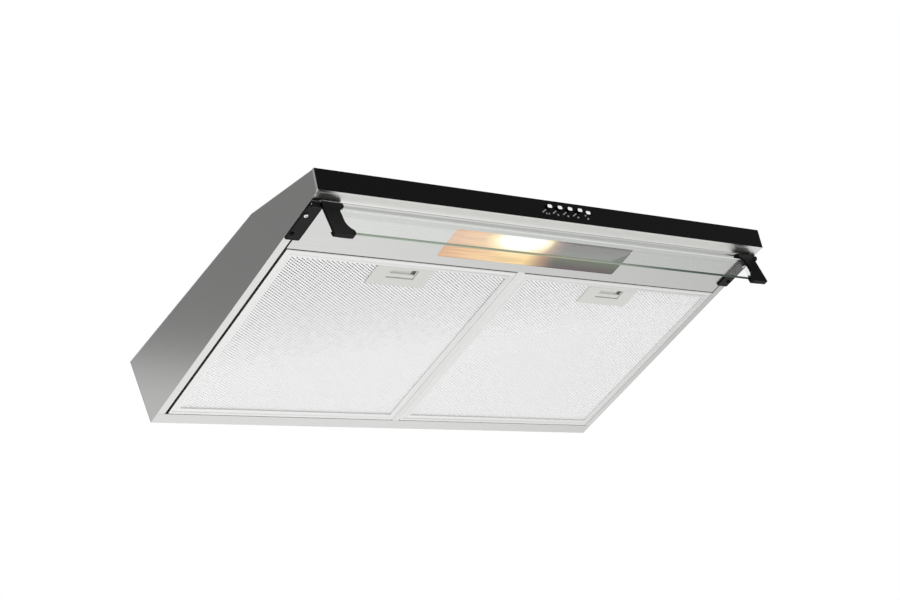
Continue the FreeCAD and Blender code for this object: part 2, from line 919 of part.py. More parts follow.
outlet_collar = outlet_collar.cut(flap_pin)
collar_screws = []
screw_ring = (collar_r + shoulder_width + flange_r) / 2
for angle in (45, 135, 225, 315):
    x = screw_ring * math.cos(math.radians(angle))
    y = outlet_y + screw_ring * math.sin(math.radians(angle))
    fastener = screw(screw_length)
    fastener.translate(V(0, 0, flange_thick))
    collar_screws.append(on_top(fastener, x, y))
    hole = on_top(rod(screw_r, V(0, 0, -screw_length), up, screw_length + flange_thick), x, y)
    outlet_collar = outlet_collar.cut(hole)
    top_sheet = top_sheet.cut(hole)

flap_r = collar_bore - flap_gap
knuckle_span = flap_r / 2
flap_disc = rod(flap_r, V(0, outlet_y, flap_z - flap_thick / 2), up, flap_thick)
barrel_room = rod(flap_knuckle_r + flap_gap, V(0, outlet_y - flap_r, flap_z), inwards, 2 * flap_r)


def flap(side):
    half = box(-flap_r, flap_r, -flap_r, flap_r, -flap_r, flap_r)
    half.translate(V(side * (flap_r + flap_gap / 2), outlet_y, flap_z))
    leaf = flap_disc.common(half).cut(barrel_room)
    pieces = [leaf]
    for i in range(4):
        if (i % 2 == 0) == (side < 0):
            y = outlet_y - flap_r + i * knuckle_span
            length = knuckle_span
            edge = 0
            if i in (0, 3):
                edge = 3 * flap_gap
                length = knuckle_span - edge
            start = y + (edge if i == 0 else 0) + flap_gap / 2
            barrel = rod(flap_knuckle_r, V(0, start, flap_z), inwards, length - flap_gap)
            near = side * (flap_knuckle_r + 2 * flap_gap)
            strap = box(
                min(0, near),
                max(0, near),
                start,
                start + length - flap_gap,
                flap_z - flap_thick / 2,
                flap_z + flap_thick / 2,
            )
            pieces += [barrel, strap]
    whole = fused(*pieces)
    return whole.cut(rod(flap_pin_r + hinge_clear, pin_start, inwards, 2 * collar_r))


# Electrical pieces: terminal box, run capacitor, cable inlet and the loom to the switch
terminal_front = -sheet - terminal_depth
terminal_left = terminal_x - terminal_width / 2
terminal_shell = box(
    terminal_left,
    terminal_left + terminal_width,
    terminal_front,
    -sheet,
    terminal_up,
    terminal_up + terminal_height,
)
terminal_hollow = box(
    terminal_left + terminal_lid,
    terminal_left + terminal_width - terminal_lid,
    terminal_front,
    -sheet - terminal_lid,
    terminal_up + terminal_lid,
    terminal_up + terminal_height - terminal_lid,
)
terminal_box = terminal_shell.cut(terminal_hollow)
terminal_cover = box(
    terminal_left,
    terminal_left + terminal_width,
    terminal_front - terminal_lid,
    terminal_front,
    terminal_up,
    terminal_up + terminal_height,
)
capacitor_y = -sheet - capacitor_r
run_capacitor = rod(capacitor_r, V(capacitor_x, capacitor_y, terminal_up), up, capacitor_length)
cable_gland = on_top(
    fused(
        rod(gland_r, V(0, 0, -sheet), up, gland_length),
        rod(gland_r + gland_flange, V(0, 0, 0), up, gland_flange),
    ).cut(rod(gland_bore_r, V(0, 0, -gland_length), up, gland_length * 3)),
    gland_x,
    -gland_from_wall,
)

loom_start = V(terminal_x, terminal_front - terminal_lid, harness_height)
loom_turn = V(terminal_x, -harness_turn_from_wall, harness_height)
loom_end = V(
    switch_right - harness_r,
    face_y(switch_rear, switch_high - harness_drop),
    face_z(switch_rear, switch_high - harness_drop),
)
loom_out = inwards * math.cos(lean) + up * math.sin(lean)
loom_lead = loom_end + loom_out * harness_bend
loom_points = [loom_start, loom_turn, loom_lead, loom_end]


def rounded_path(points, bends):
    edges = []
    here = points[0]
    for before, corner, after, radius in zip(points, points[1:], points[2:], bends):
        back = (before - corner).normalize()
        on = (after - corner).normalize()
        half = back.getAngle(on) / 2
        reach = radius / math.tan(half)
        middle = (back + on).normalize()
        enter = corner + back * reach
        leave = corner + on * reach
        mid = corner + middle * (radius / math.sin(half) - radius)
        edges.append(Part.LineSegment(here, enter).toShape())
        edges.append(Part.Arc(enter, mid, leave).toShape())
        here = leave
    edges.append(Part.LineSegment(here, points[-1]).toShape())
    return Part.Wire(edges)


loom_path = rounded_path(loom_points, (harness_bend, harness_bend / 2))
loom_profile = Part.Wire(Part.makeCircle(harness_r, loom_start, inwards))
wiring_loom = loom_path.makePipeShell([loom_profile], True, False)

# Right-hand pieces mirror the left-hand ones
right_screws = [mirrored(s) for s in bracket_screws]

os.makedirs("parts", exist_ok=True)
save("top_sheet", top_sheet)
save("back_panel", back_panel)
save("front_rail", front_rail)
save("filter_divider", filter_divider)
save("fascia_panel", on_fascia(fascia_panel))
save("lamp_panel", lamp_panel)
save("lamp_cover", lamp_cover)
save("lamp_reflector", lamp_reflector)
save("lamp_holder", lamp_holder)
save("bulb_cap", bulb_cap)
save("bulb_glass", bulb_glass)
save("switch_block", on_fascia(switch_block))
for name, shape in buttons.items():
    save(name + "_button", on_fascia(shape))
for name, shape in (
    ("side_panel", left_side_panel),
    ("visor_bracket", left_visor_bracket),
    ("visor_arm", left_visor_arm),
    ("filter_frame", left_filter_frame),
    ("filter_mesh", left_filter_mesh),
    ("latch_plate", left_latch_plate),
    ("latch_slider", left_latch_slider),
    ("strike_clip", left_strike_clip),
):
    save("left_" + name, shape)
    save("right_" + name, mirrored(shape))
save("visor_bracket_screws", group(bracket_screws + right_screws))
save("visor_hinge_pins", group([left_hinge_pin, mirrored(left_hinge_pin)]))
save("visor_glass", visor_glass)
save("blower_housing", blower_housing)
save("blower_cover", blower_cover)
save("blower_screws", group(blower_screws))
save("blower_wheel", blower_wheel)
save("wheel_nut", wheel_nut)
save("motor_case", motor_case)
save("motor_stator", motor_stator)
save("motor_rotor", motor_rotor)
save("motor_bearings", motor_bearings)
save("motor_shaft", motor_shaft)
save("outlet_collar", outlet_collar)
save("collar_screws", group(collar_screws))
save("flap_pin", flap_pin)
save("left_flap", flap(-1))
save("right_flap", flap(1))
save("terminal_box", terminal_box)
save("terminal_cover", terminal_cover)
save("run_capacitor", run_capacitor)
save("cable_gland", cable_gland)
save("wiring_loom", wiring_loom)
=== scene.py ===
import json
import math
import bmesh
import bpy
from mathutils import Matrix, Vector

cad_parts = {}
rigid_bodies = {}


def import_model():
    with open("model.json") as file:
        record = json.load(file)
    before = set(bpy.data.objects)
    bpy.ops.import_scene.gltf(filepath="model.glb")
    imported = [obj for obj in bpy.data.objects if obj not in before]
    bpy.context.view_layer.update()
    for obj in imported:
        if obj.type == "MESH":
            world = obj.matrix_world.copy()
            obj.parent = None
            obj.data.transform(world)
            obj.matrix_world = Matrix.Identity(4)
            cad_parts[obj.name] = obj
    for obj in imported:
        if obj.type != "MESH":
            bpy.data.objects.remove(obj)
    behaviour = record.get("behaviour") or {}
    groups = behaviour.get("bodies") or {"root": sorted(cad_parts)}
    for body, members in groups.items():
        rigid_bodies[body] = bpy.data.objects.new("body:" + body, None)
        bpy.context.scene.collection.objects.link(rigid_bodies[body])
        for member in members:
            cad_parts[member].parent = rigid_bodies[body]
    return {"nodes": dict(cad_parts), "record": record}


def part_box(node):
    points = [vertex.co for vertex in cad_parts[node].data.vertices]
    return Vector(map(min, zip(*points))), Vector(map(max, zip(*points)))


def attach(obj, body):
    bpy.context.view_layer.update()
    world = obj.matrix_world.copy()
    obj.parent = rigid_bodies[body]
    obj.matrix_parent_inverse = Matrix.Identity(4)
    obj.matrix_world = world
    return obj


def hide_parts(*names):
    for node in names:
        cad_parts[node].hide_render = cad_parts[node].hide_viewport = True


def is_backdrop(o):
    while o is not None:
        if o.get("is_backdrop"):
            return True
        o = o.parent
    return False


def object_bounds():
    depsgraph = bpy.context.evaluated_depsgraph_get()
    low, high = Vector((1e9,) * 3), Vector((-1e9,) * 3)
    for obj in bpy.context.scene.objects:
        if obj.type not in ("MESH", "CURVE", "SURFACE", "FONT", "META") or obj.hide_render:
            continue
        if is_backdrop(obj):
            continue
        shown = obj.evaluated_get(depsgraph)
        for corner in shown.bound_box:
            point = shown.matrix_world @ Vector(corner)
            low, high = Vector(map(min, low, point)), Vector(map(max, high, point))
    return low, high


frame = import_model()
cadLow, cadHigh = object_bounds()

# Wall mount range hood seen from below: shapes are drawn in millimetres and scaled as each piece is finished
mm = 0.001
nodes = frame["nodes"]
slotOf = {part["node"]: part["material_slot"] for part in frame["record"]["subparts"]}
bodyOf = {}
for bodyName, members in frame["record"]["behaviour"]["bodies"].items():
    bodyOf.update({node: bodyName for node in members})
scene = bpy.context.scene
shown = scene.collection.objects


# Camera: below and in front of the left end, looking up with the frame tilted
viewing = {
    "place": (-1.7503, -1.8093, -1.3597),
    "look": (0.6363, 0.5685, 0.5214),
    "upwards": (-0.0663, -0.6331, 0.7712),
    "lens": 68.74,
    "sensor": 36,
}
look = Vector(viewing["look"]).normalized()
rightwards = look.cross(Vector(viewing["upwards"])).normalized()
turnOfView = Matrix((rightwards, rightwards.cross(look), -look)).transposed().to_4x4()
camera = bpy.data.objects.new("camera", bpy.data.cameras.new("camera"))
camera.data.sensor_width = viewing["sensor"]
camera.data.lens = viewing["lens"]
camera.matrix_world = Matrix.Translation(viewing["place"]) @ turnOfView
shown.link(camera)
scene.camera = camera
print("camera placed")


def srgb(code):
    values = [int(code[i:i + 2], 16) / 255 for i in (1, 3, 5)]
    return [v / 12.92 if v <= 0.04045 else ((v + 0.055) / 1.055) ** 2.4 for v in values] + [1]


# Adds a node with its settings, values and links, and a colour ramp's stops; sockets go by name or number:
# 1 to 4 of a MapRange are its from and to limits, 6 and 7 of a Mix its colours, which come out at 2
def addNode(tree, kind, values={}, links={}, stops=(), **settings):
    node = tree.nodes.new("ShaderNode" + kind)
    for key, value in settings.items():
        setattr(node, key, value)
    for socket, value in values.items():
        node.inputs[socket].default_value = value
    for socket, source in links.items():
        tree.links.new(source, node.inputs[socket])
    for index, (position, code) in enumerate(stops):
        bar = node.color_ramp.elements
        stop = bar[index] if index < 2 else bar.new(position)
        stop.position, stop.color = position, srgb(code)
    return node


# Studio: white below, dimmer above and low on the left, so the underside is bright and the side panels grey
studio = {
    "below": 1.2,
    "belowLeft": {"from": -0.5, "to": -0.15, "level": 0.55},
    "above": 0.285,
    "horizon": 0.12,
    "topLight": {"place": (0.6, -0.9, 2.8), "size": 2.8, "watts": 75},
    "sideCard": {"from": 0.1, "to": 0.15, "gain": 0.49, "endFrom": -0.3, "endTo": -0.4},
    "frontBox": {"place": (1.55, -2.1, 2.0), "size": 1.3, "watts": 2.6},
    "dimmer": {"from": 0.02, "to": 0.27, "share": 0.64},
    "floorDrop": 3.6,
    "floorReach": 90,
}
scene.view_settings.view_transform = "Standard"
world = bpy.data.worlds.new("studio")
scene.world = world
world.use_nodes = True
tree = world.node_tree
tree.nodes.clear()
direction = addNode(tree, "SeparateXYZ", links={0: addNode(tree, "TexCoord").outputs["Generated"]})
dirX, dirY, dirZ = direction.outputs
leftEnd = studio["belowLeft"]  # keeps the side panel grey from above too
lower = addNode(
    tree, "MapRange",
    {1: leftEnd["from"], 2: leftEnd["to"], 3: leftEnd["level"], 4: studio["below"]}, {"Value": dirX},
)
brightness = addNode(
    tree, "MapRange",
    {1: -studio["horizon"], 2: studio["horizon"], 4: studio["above"]}, {"Value": dirZ, 3: lower.outputs[0]},
    interpolation_type="SMOOTHSTEP",
)
dimmer = studio["dimmer"]  # the backdrop falls off towards the front right
frontRight = addNode(tree, "Math", links={0: dirX, 1: dirY}, operation="SUBTRACT")
falloff = addNode(
    tree, "MapRange", {1: dimmer["from"], 2: dimmer["to"], 3: 1, 4: dimmer["share"]},
    {"Value": frontRight.outputs[0]},
)
strength = addNode(
    tree, "Math", links={0: brightness.outputs[0], 1: falloff.outputs[0]}, operation="MULTIPLY"
)
card = studio["sideCard"]  # a pale card up behind the left end, with a slanting edge
slant = addNode(tree, "Math", links={0: dirY, 1: dirZ}, operation="SUBTRACT")
cardEdge = addNode(
    tree, "MapRange", {1: card["from"], 2: card["to"], 4: card["gain"]}, {"Value": slant.outputs[0]},
    interpolation_type="SMOOTHSTEP",
)
cardEnd = addNode(tree, "MapRange", {1: card["endFrom"], 2: card["endTo"]}, {"Value": dirX})
cardGlow = addNode(
    tree, "Math", links={0: cardEdge.outputs[0], 1: cardEnd.outputs[0]}, operation="MULTIPLY"
)
total = addNode(tree, "Math", links={0: strength.outputs[0], 1: cardGlow.outputs[0]}, operation="ADD")
around = addNode(tree, "Background", {"Color": srgb("#ffffff")}, {"Strength": total.outputs[0]})
behind = addNode(tree, "Background", {"Color": srgb("#ffffff"), "Strength": 1})
rays = addNode(tree, "LightPath").outputs
seen = addNode(
    tree, "Math", links={0: rays["Is Camera Ray"], 1: rays["Is Transmission Ray"]}, operation="MAXIMUM"
)
chosen = addNode(tree, "MixShader", links={0: seen.outputs[0], 1: around.outputs[0], 2: behind.outputs[0]})
addNode(tree, "OutputWorld", links={"Surface": chosen.outputs[0]})


def addLight(name, settings, aim):
    lamp = bpy.data.objects.new(name, bpy.data.lights.new(name, "AREA"))
    lamp.data.size = settings["size"]
    lamp.data.energy = settings["watts"]
    place = Vector(settings["place"])
    turn = (aim - place).to_track_quat("-Z", "Y").to_matrix().to_4x4()
    lamp.matrix_world = Matrix.Translation(place) @ turn
    lamp.visible_camera = False
    shown.link(lamp)


hoodMiddle = (cadLow + cadHigh) / 2
addLight("top_light", studio["topLight"], hoodMiddle)
addLight("front_box", studio["frontBox"], hoodMiddle)

floorMaterial = bpy.data.materials.new("pale studio floor")
floorMaterial.use_nodes = True
floorLook = {
    "Base Color": srgb("#f4f4f2"), "Roughness": 0.9,
    "Emission Color": srgb("#f4f4f2"), "Emission Strength": 0.6,
}
for socket, value in floorLook.items():
    floorMaterial.node_tree.nodes["Principled BSDF"].inputs[socket].default_value = value
bm = bmesh.new()
floorPlace = Matrix.Translation((hoodMiddle.x, hoodMiddle.y, -studio["floorDrop"]))
bmesh.ops.create_grid(bm, x_segments=1, y_segments=1, size=studio["floorReach"], matrix=floorPlace)
floorMesh = bpy.data.meshes.new("floor")
bm.to_mesh(floorMesh)
bm.free()
floorMesh.materials.append(floorMaterial)
floor = bpy.data.objects.new("floor", floorMesh)
floor.visible_diffuse = False
floor.visible_glossy = False
shown.link(floor)
floor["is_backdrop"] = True
print("studio lit")


grainNoise = {"Scale": 1, "Detail": 3, "Roughness": 0.55}
noiseLow, noiseHigh = 0.3, 0.7  # nearly all of a noise lies between these


# A finish starts as one Principled shader with a grain on Object coordinates, which are in metres:
# grain is its size in mm, stretch makes it longer along an axis, relief is its height in mm,
# polish is how far roughness wanders and mottle how far the colour darkens
def startFinish(
    name, colour, grain, stretch=(1, 1, 1), relief=0.01, polish=0.05, mottle=0.05, **shaderValues
):
    material = bpy.data.materials.new(name)
    material.use_nodes = True
    tree = material.node_tree
    shader = tree.nodes["Principled BSDF"]
    for socket, value in shaderValues.items():
        shader.inputs[socket.replace("_", " ")].default_value = value
    place = addNode(tree, "TexCoord").outputs["Object"]
    scale = [1 / (grain * mm * along) for along in stretch]
    mapped = addNode(tree, "Mapping", {"Scale": scale}, {"Vector": place})
    noise = addNode(tree, "TexNoise", grainNoise, {"Vector": mapped.outputs[0]})
    rough = shaderValues.get("Roughness", 0.5)
    if polish:
        gloss = addNode(
            tree, "MapRange", {1: noiseLow, 2: noiseHigh, 3: rough - polish, 4: rough + polish},
            {"Value": noise.outputs[0]},
        )
        tree.links.new(gloss.outputs[0], shader.inputs["Roughness"])
    light = srgb(colour)
    dark = [v * (1 - mottle) for v in light[:3]] + [1]
    tint = addNode(
        tree, "Mix", {6: dark, 7: light}, {0: noise.outputs[0]}, data_type="RGBA", blend_type="MIX"
    )
    tree.links.new(tint.outputs[2], shader.inputs["Base Color"])
    if relief:
        bump = addNode(tree, "Bump", {"Strength": 1, "Distance": relief * mm}, {"Height": noise.outputs[0]})
        tree.links.new(bump.outputs[0], shader.inputs["Normal"])
    return material, tree, shader, place


def plainFinish(*words, **values):
    return startFinish(*words, **values)[0]


# Brushed stainless steel sheet: grey with long fine lines along the brushing;
# the lines are drawn 0.5 mm wide, coarser than real ones, so that they show
steelAlongX = plainFinish(
    "stainless steel, brushed across", "#d2d3d1", 0.5, (120, 1, 1), relief=0.006, polish=0.08, mottle=0.08,
    Metallic=1, Roughness=0.3,
)
steelAlongY = plainFinish(
    "stainless steel, brushed front to back", "#d1d2d0", 0.5, (1, 160, 1), relief=0, polish=0.02,
    mottle=0.05, Metallic=1, Roughness=0.13,
)

# Polished stainless flange: paler than the sheet, with a soft broad shine and faint polishing lines
polishedSteel = plainFinish(
    "stainless steel, polished", "#ececea", 0.8, (60, 1, 1), relief=0.002, polish=0.03, mottle=0.03,
    Metallic=1, Roughness=0.36,
)

# Satin black paint on aluminium: deep black with a soft broad gloss and slight orange peel
blackPaint = plainFinish(
    "black satin paint on aluminium", "#121212", 1.2, relief=0.004, polish=0.05, mottle=0.15,
    Roughness=0.3, Specular_IOR_Level=0.22,
)

# Bare cut edge of the painted aluminium strip: pale metal with saw marks
bareEdge = plainFinish(
    "aluminium, bare cut edge", "#f1f1ef", 0.4, (1, 1, 6), relief=0.01, mottle=0.05,
    Metallic=1, Roughness=0.35,
)

# White lacquered steel: even white with a soft gloss
whiteLacquer = plainFinish(
    "white lacquered steel", "#f2f2f1", 0.9, relief=0.004, polish=0.05, mottle=0.02, Roughness=0.42
)

# Moulded black ABS: fine leathery texture that greys the highlights
blackAbs = plainFinish(
    "black ABS, moulded", "#0b0b0b", 0.35, relief=0.03, polish=0.06, mottle=0.25,
    Roughness=0.36, Specular_IOR_Level=0.12,
)

# Moulded white polycarbonate caps: bright white, with a painted glow from their emission
whiteCapGlow = plainFinish(
    "white polycarbonate, moulded", "#fbfbf8", 0.6, relief=0.003, polish=0.04, mottle=0.02,
    Roughness=0.28, Emission_Color=srgb("#ffffff"), Emission_Strength=0.35,
)

# Pad-printed grey ink: pale and matt on the black
greyInk = plainFinish("grey pad-print ink", "#b9b9b6", 0.3, relief=0.002, mottle=0.12, Roughness=0.6)

# Bright rolled aluminium of the cassette frames: near white, satin, faint rolling lines
cassetteAluminium = plainFinish(
    "aluminium, bright rolled", "#ececeb", 0.6, (40, 1, 1), relief=0.003, polish=0.06, mottle=0.04,
    Metallic=1, Roughness=0.42,
)

# Expanded aluminium strands: near white, darker only where a strand turns edge on, with a faint painted glow
strandAluminiumGlow = plainFinish(
    "aluminium, expanded mesh, painted glow", "#fbfbfb", 0.7, relief=0.006, polish=0.08, mottle=0.06,
    Metallic=1, Roughness=0.5, Emission_Color=srgb("#ffffff"), Emission_Strength=0.03,
)

# Inner layers of the filter pad seen between the strands: crumpled foil with painted shade at the front left
# and a painted glow of strength through;
# from and fade are where the painted shade starts and how far it takes to clear, in mm along x and y
foilPaintedShade = {
    "dark": "#2c2c2c", "bright": "#efefef", "from": (-433, -400), "fade": (1000, 290), "through": 0.27,
    "crumple": 9, "uneven": 0.3,
}


def layeredFoilPaintedShade():
    material, tree, shader, place = startFinish(
        "aluminium, layered filter foil, painted shade and glow", foilPaintedShade["bright"], 1.6, relief=0.03, polish=0.1, mottle=0.06,
        Metallic=0.4, Roughness=0.6,
    )
    (startX, startY), (fadeX, fadeY) = foilPaintedShade["from"], foilPaintedShade["fade"]
    axes = addNode(tree, "SeparateXYZ", links={0: place})
    sideways = addNode(
        tree, "MapRange", {1: startX * mm, 2: (startX + fadeX) * mm}, {0: axes.outputs["X"]}, clamp=False
    )
    backwards = addNode(
        tree, "MapRange", {1: startY * mm, 2: (startY + fadeY) * mm}, {0: axes.outputs["Y"]}, clamp=False
    )
    away = addNode(tree, "Math", links={0: sideways.outputs[0], 1: backwards.outputs[0]}, operation="ADD")
    crumple = addNode(tree, "TexNoise", {"Scale": 1 / (foilPaintedShade["crumple"] * mm)}, {"Vector": place})
    uneven = addNode(
        tree, "MapRange",
        {1: noiseLow, 2: noiseHigh, 3: -foilPaintedShade["uneven"] / 2, 4: foilPaintedShade["uneven"] / 2},
        {0: crumple.outputs[0]},
    )
    shaded = addNode(
        tree, "Math", links={0: away.outputs[0], 1: uneven.outputs[0]}, operation="ADD", use_clamp=True
    )
    shade = addNode(
        tree, "Mix", {6: srgb(foilPaintedShade["dark"]), 7: srgb(foilPaintedShade["bright"])}, {0: shaded.outputs[0]},
        data_type="RGBA", blend_type="MIX",
    )
    tree.links.new(shade.outputs[2], shader.inputs["Base Color"])
    # The painted shade colour also feeds a painted glow
    tree.links.new(shade.outputs[2], shader.inputs["Emission Color"])
    shader.inputs["Emission Strength"].default_value = foilPaintedShade["through"]
    return material


foilLayersPaintedShade = layeredFoilPaintedShade()

# Moulded pale grey ABS of the latches: soft gloss on a fine texture
greyAbs = plainFinish(
    "pale grey ABS, moulded", "#e6e7e2", 0.4, relief=0.02, polish=0.06, mottle=0.05, Roughness=0.48
)

# The same plastic, darker in the narrow recess as painted shade
recessShadeAbs = plainFinish(
    "grey ABS, painted recess shade", "#80817b", 0.35, relief=0.02, mottle=0.2, Roughness=0.5, Specular_IOR_Level=0.2,
)

# Rolled spring steel: grey, with fine rolling lines
springSteel = plainFinish(
    "spring steel, rolled", "#a9acae", 0.5, (1, 1, 20), relief=0.003, mottle=0.08, Metallic=1, Roughness=0.28
)

# Bright zinc on steel: pale, shiny and slightly clouded
zincSteel = plainFinish(
    "steel, bright zinc plated", "#e3e4e2", 0.8, relief=0.004, polish=0.07, mottle=0.08,
    Metallic=1, Roughness=0.22,
)

# Mirror-rolled reflector aluminium: bright, with faint rolling lines
reflectorSheet = plainFinish(
    "aluminium, mirror rolled reflector", "#f2f2ee", 0.8, (30, 1, 1), relief=0.004, mottle=0.04,
    Metallic=1, Roughness=0.15,
)

# Pressed steatite: matt cream, slightly grainy
lampCeramic = plainFinish(
    "steatite ceramic, pressed", "#efe9dc", 0.5, relief=0.02, mottle=0.06, Roughness=0.55
)

# Drawn brass: yellow metal with a soft shine
brassCap = plainFinish("brass, drawn", "#d8b465", 0.6, relief=0.004, mottle=0.1, Metallic=1, Roughness=0.25)

# Galvanised steel: grey zinc crystals about 9 mm across
greyHousing = plainFinish(
    "galvanised steel, zinc spangle", "#b9bdbf", 9, relief=0.004, polish=0.1, mottle=0.22,
    Metallic=1, Roughness=0.36,
)

# Motor enamel: dark grey with a dull gloss
motorPaint = plainFinish("dark grey motor enamel", "#4b4f52", 0.8, relief=0.01, mottle=0.12, Roughness=0.45)

# Stacked silicon steel sheets: dull grey, lined across the stack
coreSteel = plainFinish(
    "silicon steel laminations", "#7d7f80", 0.5, (30, 30, 1), relief=0.05, mottle=0.3,
    Metallic=1, Roughness=0.45,
)

# Ground steel: bright, with fine grinding lines
brightSteel = plainFinish(
    "steel, ground bright", "#cfd1d2", 0.4, (1, 1, 8), relief=0.003, mottle=0.06, Metallic=1, Roughness=0.2
)

# Sintered bronze: brown, matt and porous
bronze = plainFinish("sintered bronze", "#b07a45", 0.3, relief=0.02, mottle=0.25, Metallic=1, Roughness=0.5)

# Moulded polypropylene: waxy off-white
capacitorCase = plainFinish(
    "white polypropylene, moulded", "#e4e4e0", 0.6, relief=0.01, mottle=0.05, Roughness=0.5
)

# Ribbed PVC sleeve: matt black
loomSleeve = plainFinish("black PVC sleeve, ribbed", "#202020", 1.5, relief=0.08, mottle=0.3, Roughness=0.55)

# Frosted bulb glass: an even warm glow
frostedBulb = plainFinish(
    "frosted bulb glass", "#fff4dc", 0.5, relief=0.003, mottle=0.03,
    Roughness=0.4, Emission_Color=srgb("#ffe9b8"), Emission_Strength=3,
)

# Float glass: clear through its faces; its iron shows green along the bottom edge, hardly at the top
clearGlass = plainFinish(
    "float glass, clear", "#fdfefd", 40, relief=0, polish=0, mottle=0.004,
    Roughness=0, Transmission_Weight=1, IOR=1.52,
)
# Polished top edges: pale, with a painted glow from their emission
paleEdgeGlow = plainFinish(
    "float glass, polished edge, painted glow", "#eef2ee", 25, relief=0, polish=0.05, mottle=0.05,
    Roughness=0.15, IOR=1.52, Emission_Color=srgb("#e9efe9"), Emission_Strength=0.42,
)


# The bottom edge's green carries painted light: a warm painted glow near the lamp's end and painted shade
# deepening to the far end
edgeGreensPaintedLight = (
    (0.0, "#a9b9a6"), (0.2, "#aabaa5"), (0.4, "#bbb695"), (0.6, "#a3b0a0"),
    (0.76, "#566b5b"), (0.93, "#41544a"), (0.96, "#2f4539"), (1.0, "#141c17"),
)


def groundEdgePaintedLight():
    material, tree, shader, place = startFinish(
        "float glass, ground edge, painted light", "#93a891", 25, relief=0, polish=0.05, mottle=0.3,
        Roughness=0.3, IOR=1.52, Specular_IOR_Level=0.2,
    )
    low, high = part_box("visor_glass")
    axes = addNode(tree, "SeparateXYZ", links={0: place})
    along = addNode(tree, "MapRange", {1: low.x, 2: high.x}, {0: axes.outputs["X"]})
    greens = addNode(tree, "ValToRGB", links={0: along.outputs[0]}, stops=edgeGreensPaintedLight)
    tree.links.new(greens.outputs[0], shader.inputs["Base Color"])
    return material


greenEdgePaintedLight = groundEdgePaintedLight()


# Opal acrylic lens: white over the lit bulb, peach towards that end, and dull at the far end, whose greys
# are painted shade in its glow, darkest along the front edge; hot is the bright patch's middle, size its
# reach, all in mm, and a ring is a colour with where it starts and fills, in reaches
lampGlow = {
    "hot": (-45, -468), "size": (63, 29), "cutoff": (6, 24), "strength": 1,
    "rings": (("#ffecb4", 1.25, 0.75), ("#ffffff", 0.95, 0.55)),
    "along": (
        (0.0, "#d3a580"), (0.1, "#e0b387"), (0.3, "#eecb97"), (0.46, "#f3d294"), (0.54, "#a98767"),
        (0.62, "#6c625c"), (0.8, "#5c5856"), (1.0, "#504b4a"),
    ),
    # across: the far end's greys, painted shade
    "across": ((0.05, "#2f2e2d"), (0.25, "#484643"), (0.45, "#4d554b"), (0.62, "#57604f"), (0.9, "#4a3a3e")),
    "dullFrom": (12, 60), "streak": (90, 2.2, 90), "ripple": (0.8, 1.12),
}


def lampLens():
    material, tree, shader, place = startFinish(
        "opal acrylic lens", "#3c3a3a", 3, (30, 1, 1), relief=0.004, polish=0.05, mottle=0.2, Roughness=0.22
    )
    low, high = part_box("lamp_cover")
    axes = addNode(tree, "SeparateXYZ", links={0: place})
    along = addNode(tree, "MapRange", {1: low.x, 2: high.x}, {0: axes.outputs["X"]})
    across = addNode(tree, "MapRange", {1: low.y, 2: high.y}, {0: axes.outputs["Y"]})
    warm = addNode(tree, "ValToRGB", links={0: along.outputs[0]}, stops=lampGlow["along"])
    farEndPaintedShade = addNode(tree, "ValToRGB", links={0: across.outputs[0]}, stops=lampGlow["across"])
    dullFrom, dullTo = lampGlow["dullFrom"]
    farEnd = addNode(
        tree, "MapRange", {1: dullFrom * mm, 2: dullTo * mm}, {0: axes.outputs["X"]},
        interpolation_type="SMOOTHSTEP",
    )
    ground = addNode(
        tree, "Mix", links={0: farEnd.outputs[0], 6: warm.outputs[0], 7: farEndPaintedShade.outputs[0]},
        data_type="RGBA", blend_type="MIX",
    )
    streaks = addNode(
        tree, "Mapping", {"Scale": [1 / (size * mm) for size in lampGlow["streak"]]}, {"Vector": place}
    )
    noise = addNode(tree, "TexNoise", {"Scale": 1, "Detail": 2}, {"Vector": streaks.outputs[0]})
    dimmest, brightest = lampGlow["ripple"]
    ripple = addNode(
        tree, "MapRange", {1: noiseLow, 2: noiseHigh, 3: dimmest, 4: brightest}, {0: noise.outputs[0]}
    )
    streaked = addNode(
        tree, "Mix", {0: 1.0}, {6: ground.outputs[2], 7: ripple.outputs[0]},
        data_type="RGBA", blend_type="MULTIPLY",
    )
    (hotX, hotY), (reachX, reachY) = lampGlow["hot"], lampGlow["size"]
    spot = addNode(
        tree, "Mapping",
        {"Location": (-hotX / reachX, -hotY / reachY, 0), "Scale": (1 / reachX / mm, 1 / reachY / mm, 0)},
        {"Vector": place},
    )
    distance = addNode(tree, "VectorMath", links={0: spot.outputs[0]}, operation="LENGTH")
    cutFrom, cutTo = lampGlow["cutoff"]
    cutoff = addNode(
        tree, "MapRange", {1: cutFrom * mm, 2: cutTo * mm, 3: 1, 4: 0}, {0: axes.outputs["X"]},
        interpolation_type="SMOOTHSTEP",
    )
    glow = streaked.outputs[2]
    for code, outer, inner in lampGlow["rings"]:
        near = addNode(
            tree, "MapRange", {1: outer, 2: inner}, {0: distance.outputs["Value"]},
            interpolation_type="SMOOTHSTEP",
        )
        lit = addNode(tree, "Math", links={0: near.outputs[0], 1: cutoff.outputs[0]}, operation="MULTIPLY")
        glow = addNode(
            tree, "Mix", {7: srgb(code)}, {0: lit.outputs[0], 6: glow}, data_type="RGBA", blend_type="MIX"
        ).outputs[2]
    tree.links.new(glow, shader.inputs["Emission Color"])
    shader.inputs["Emission Strength"].default_value = lampGlow["strength"]
    return material


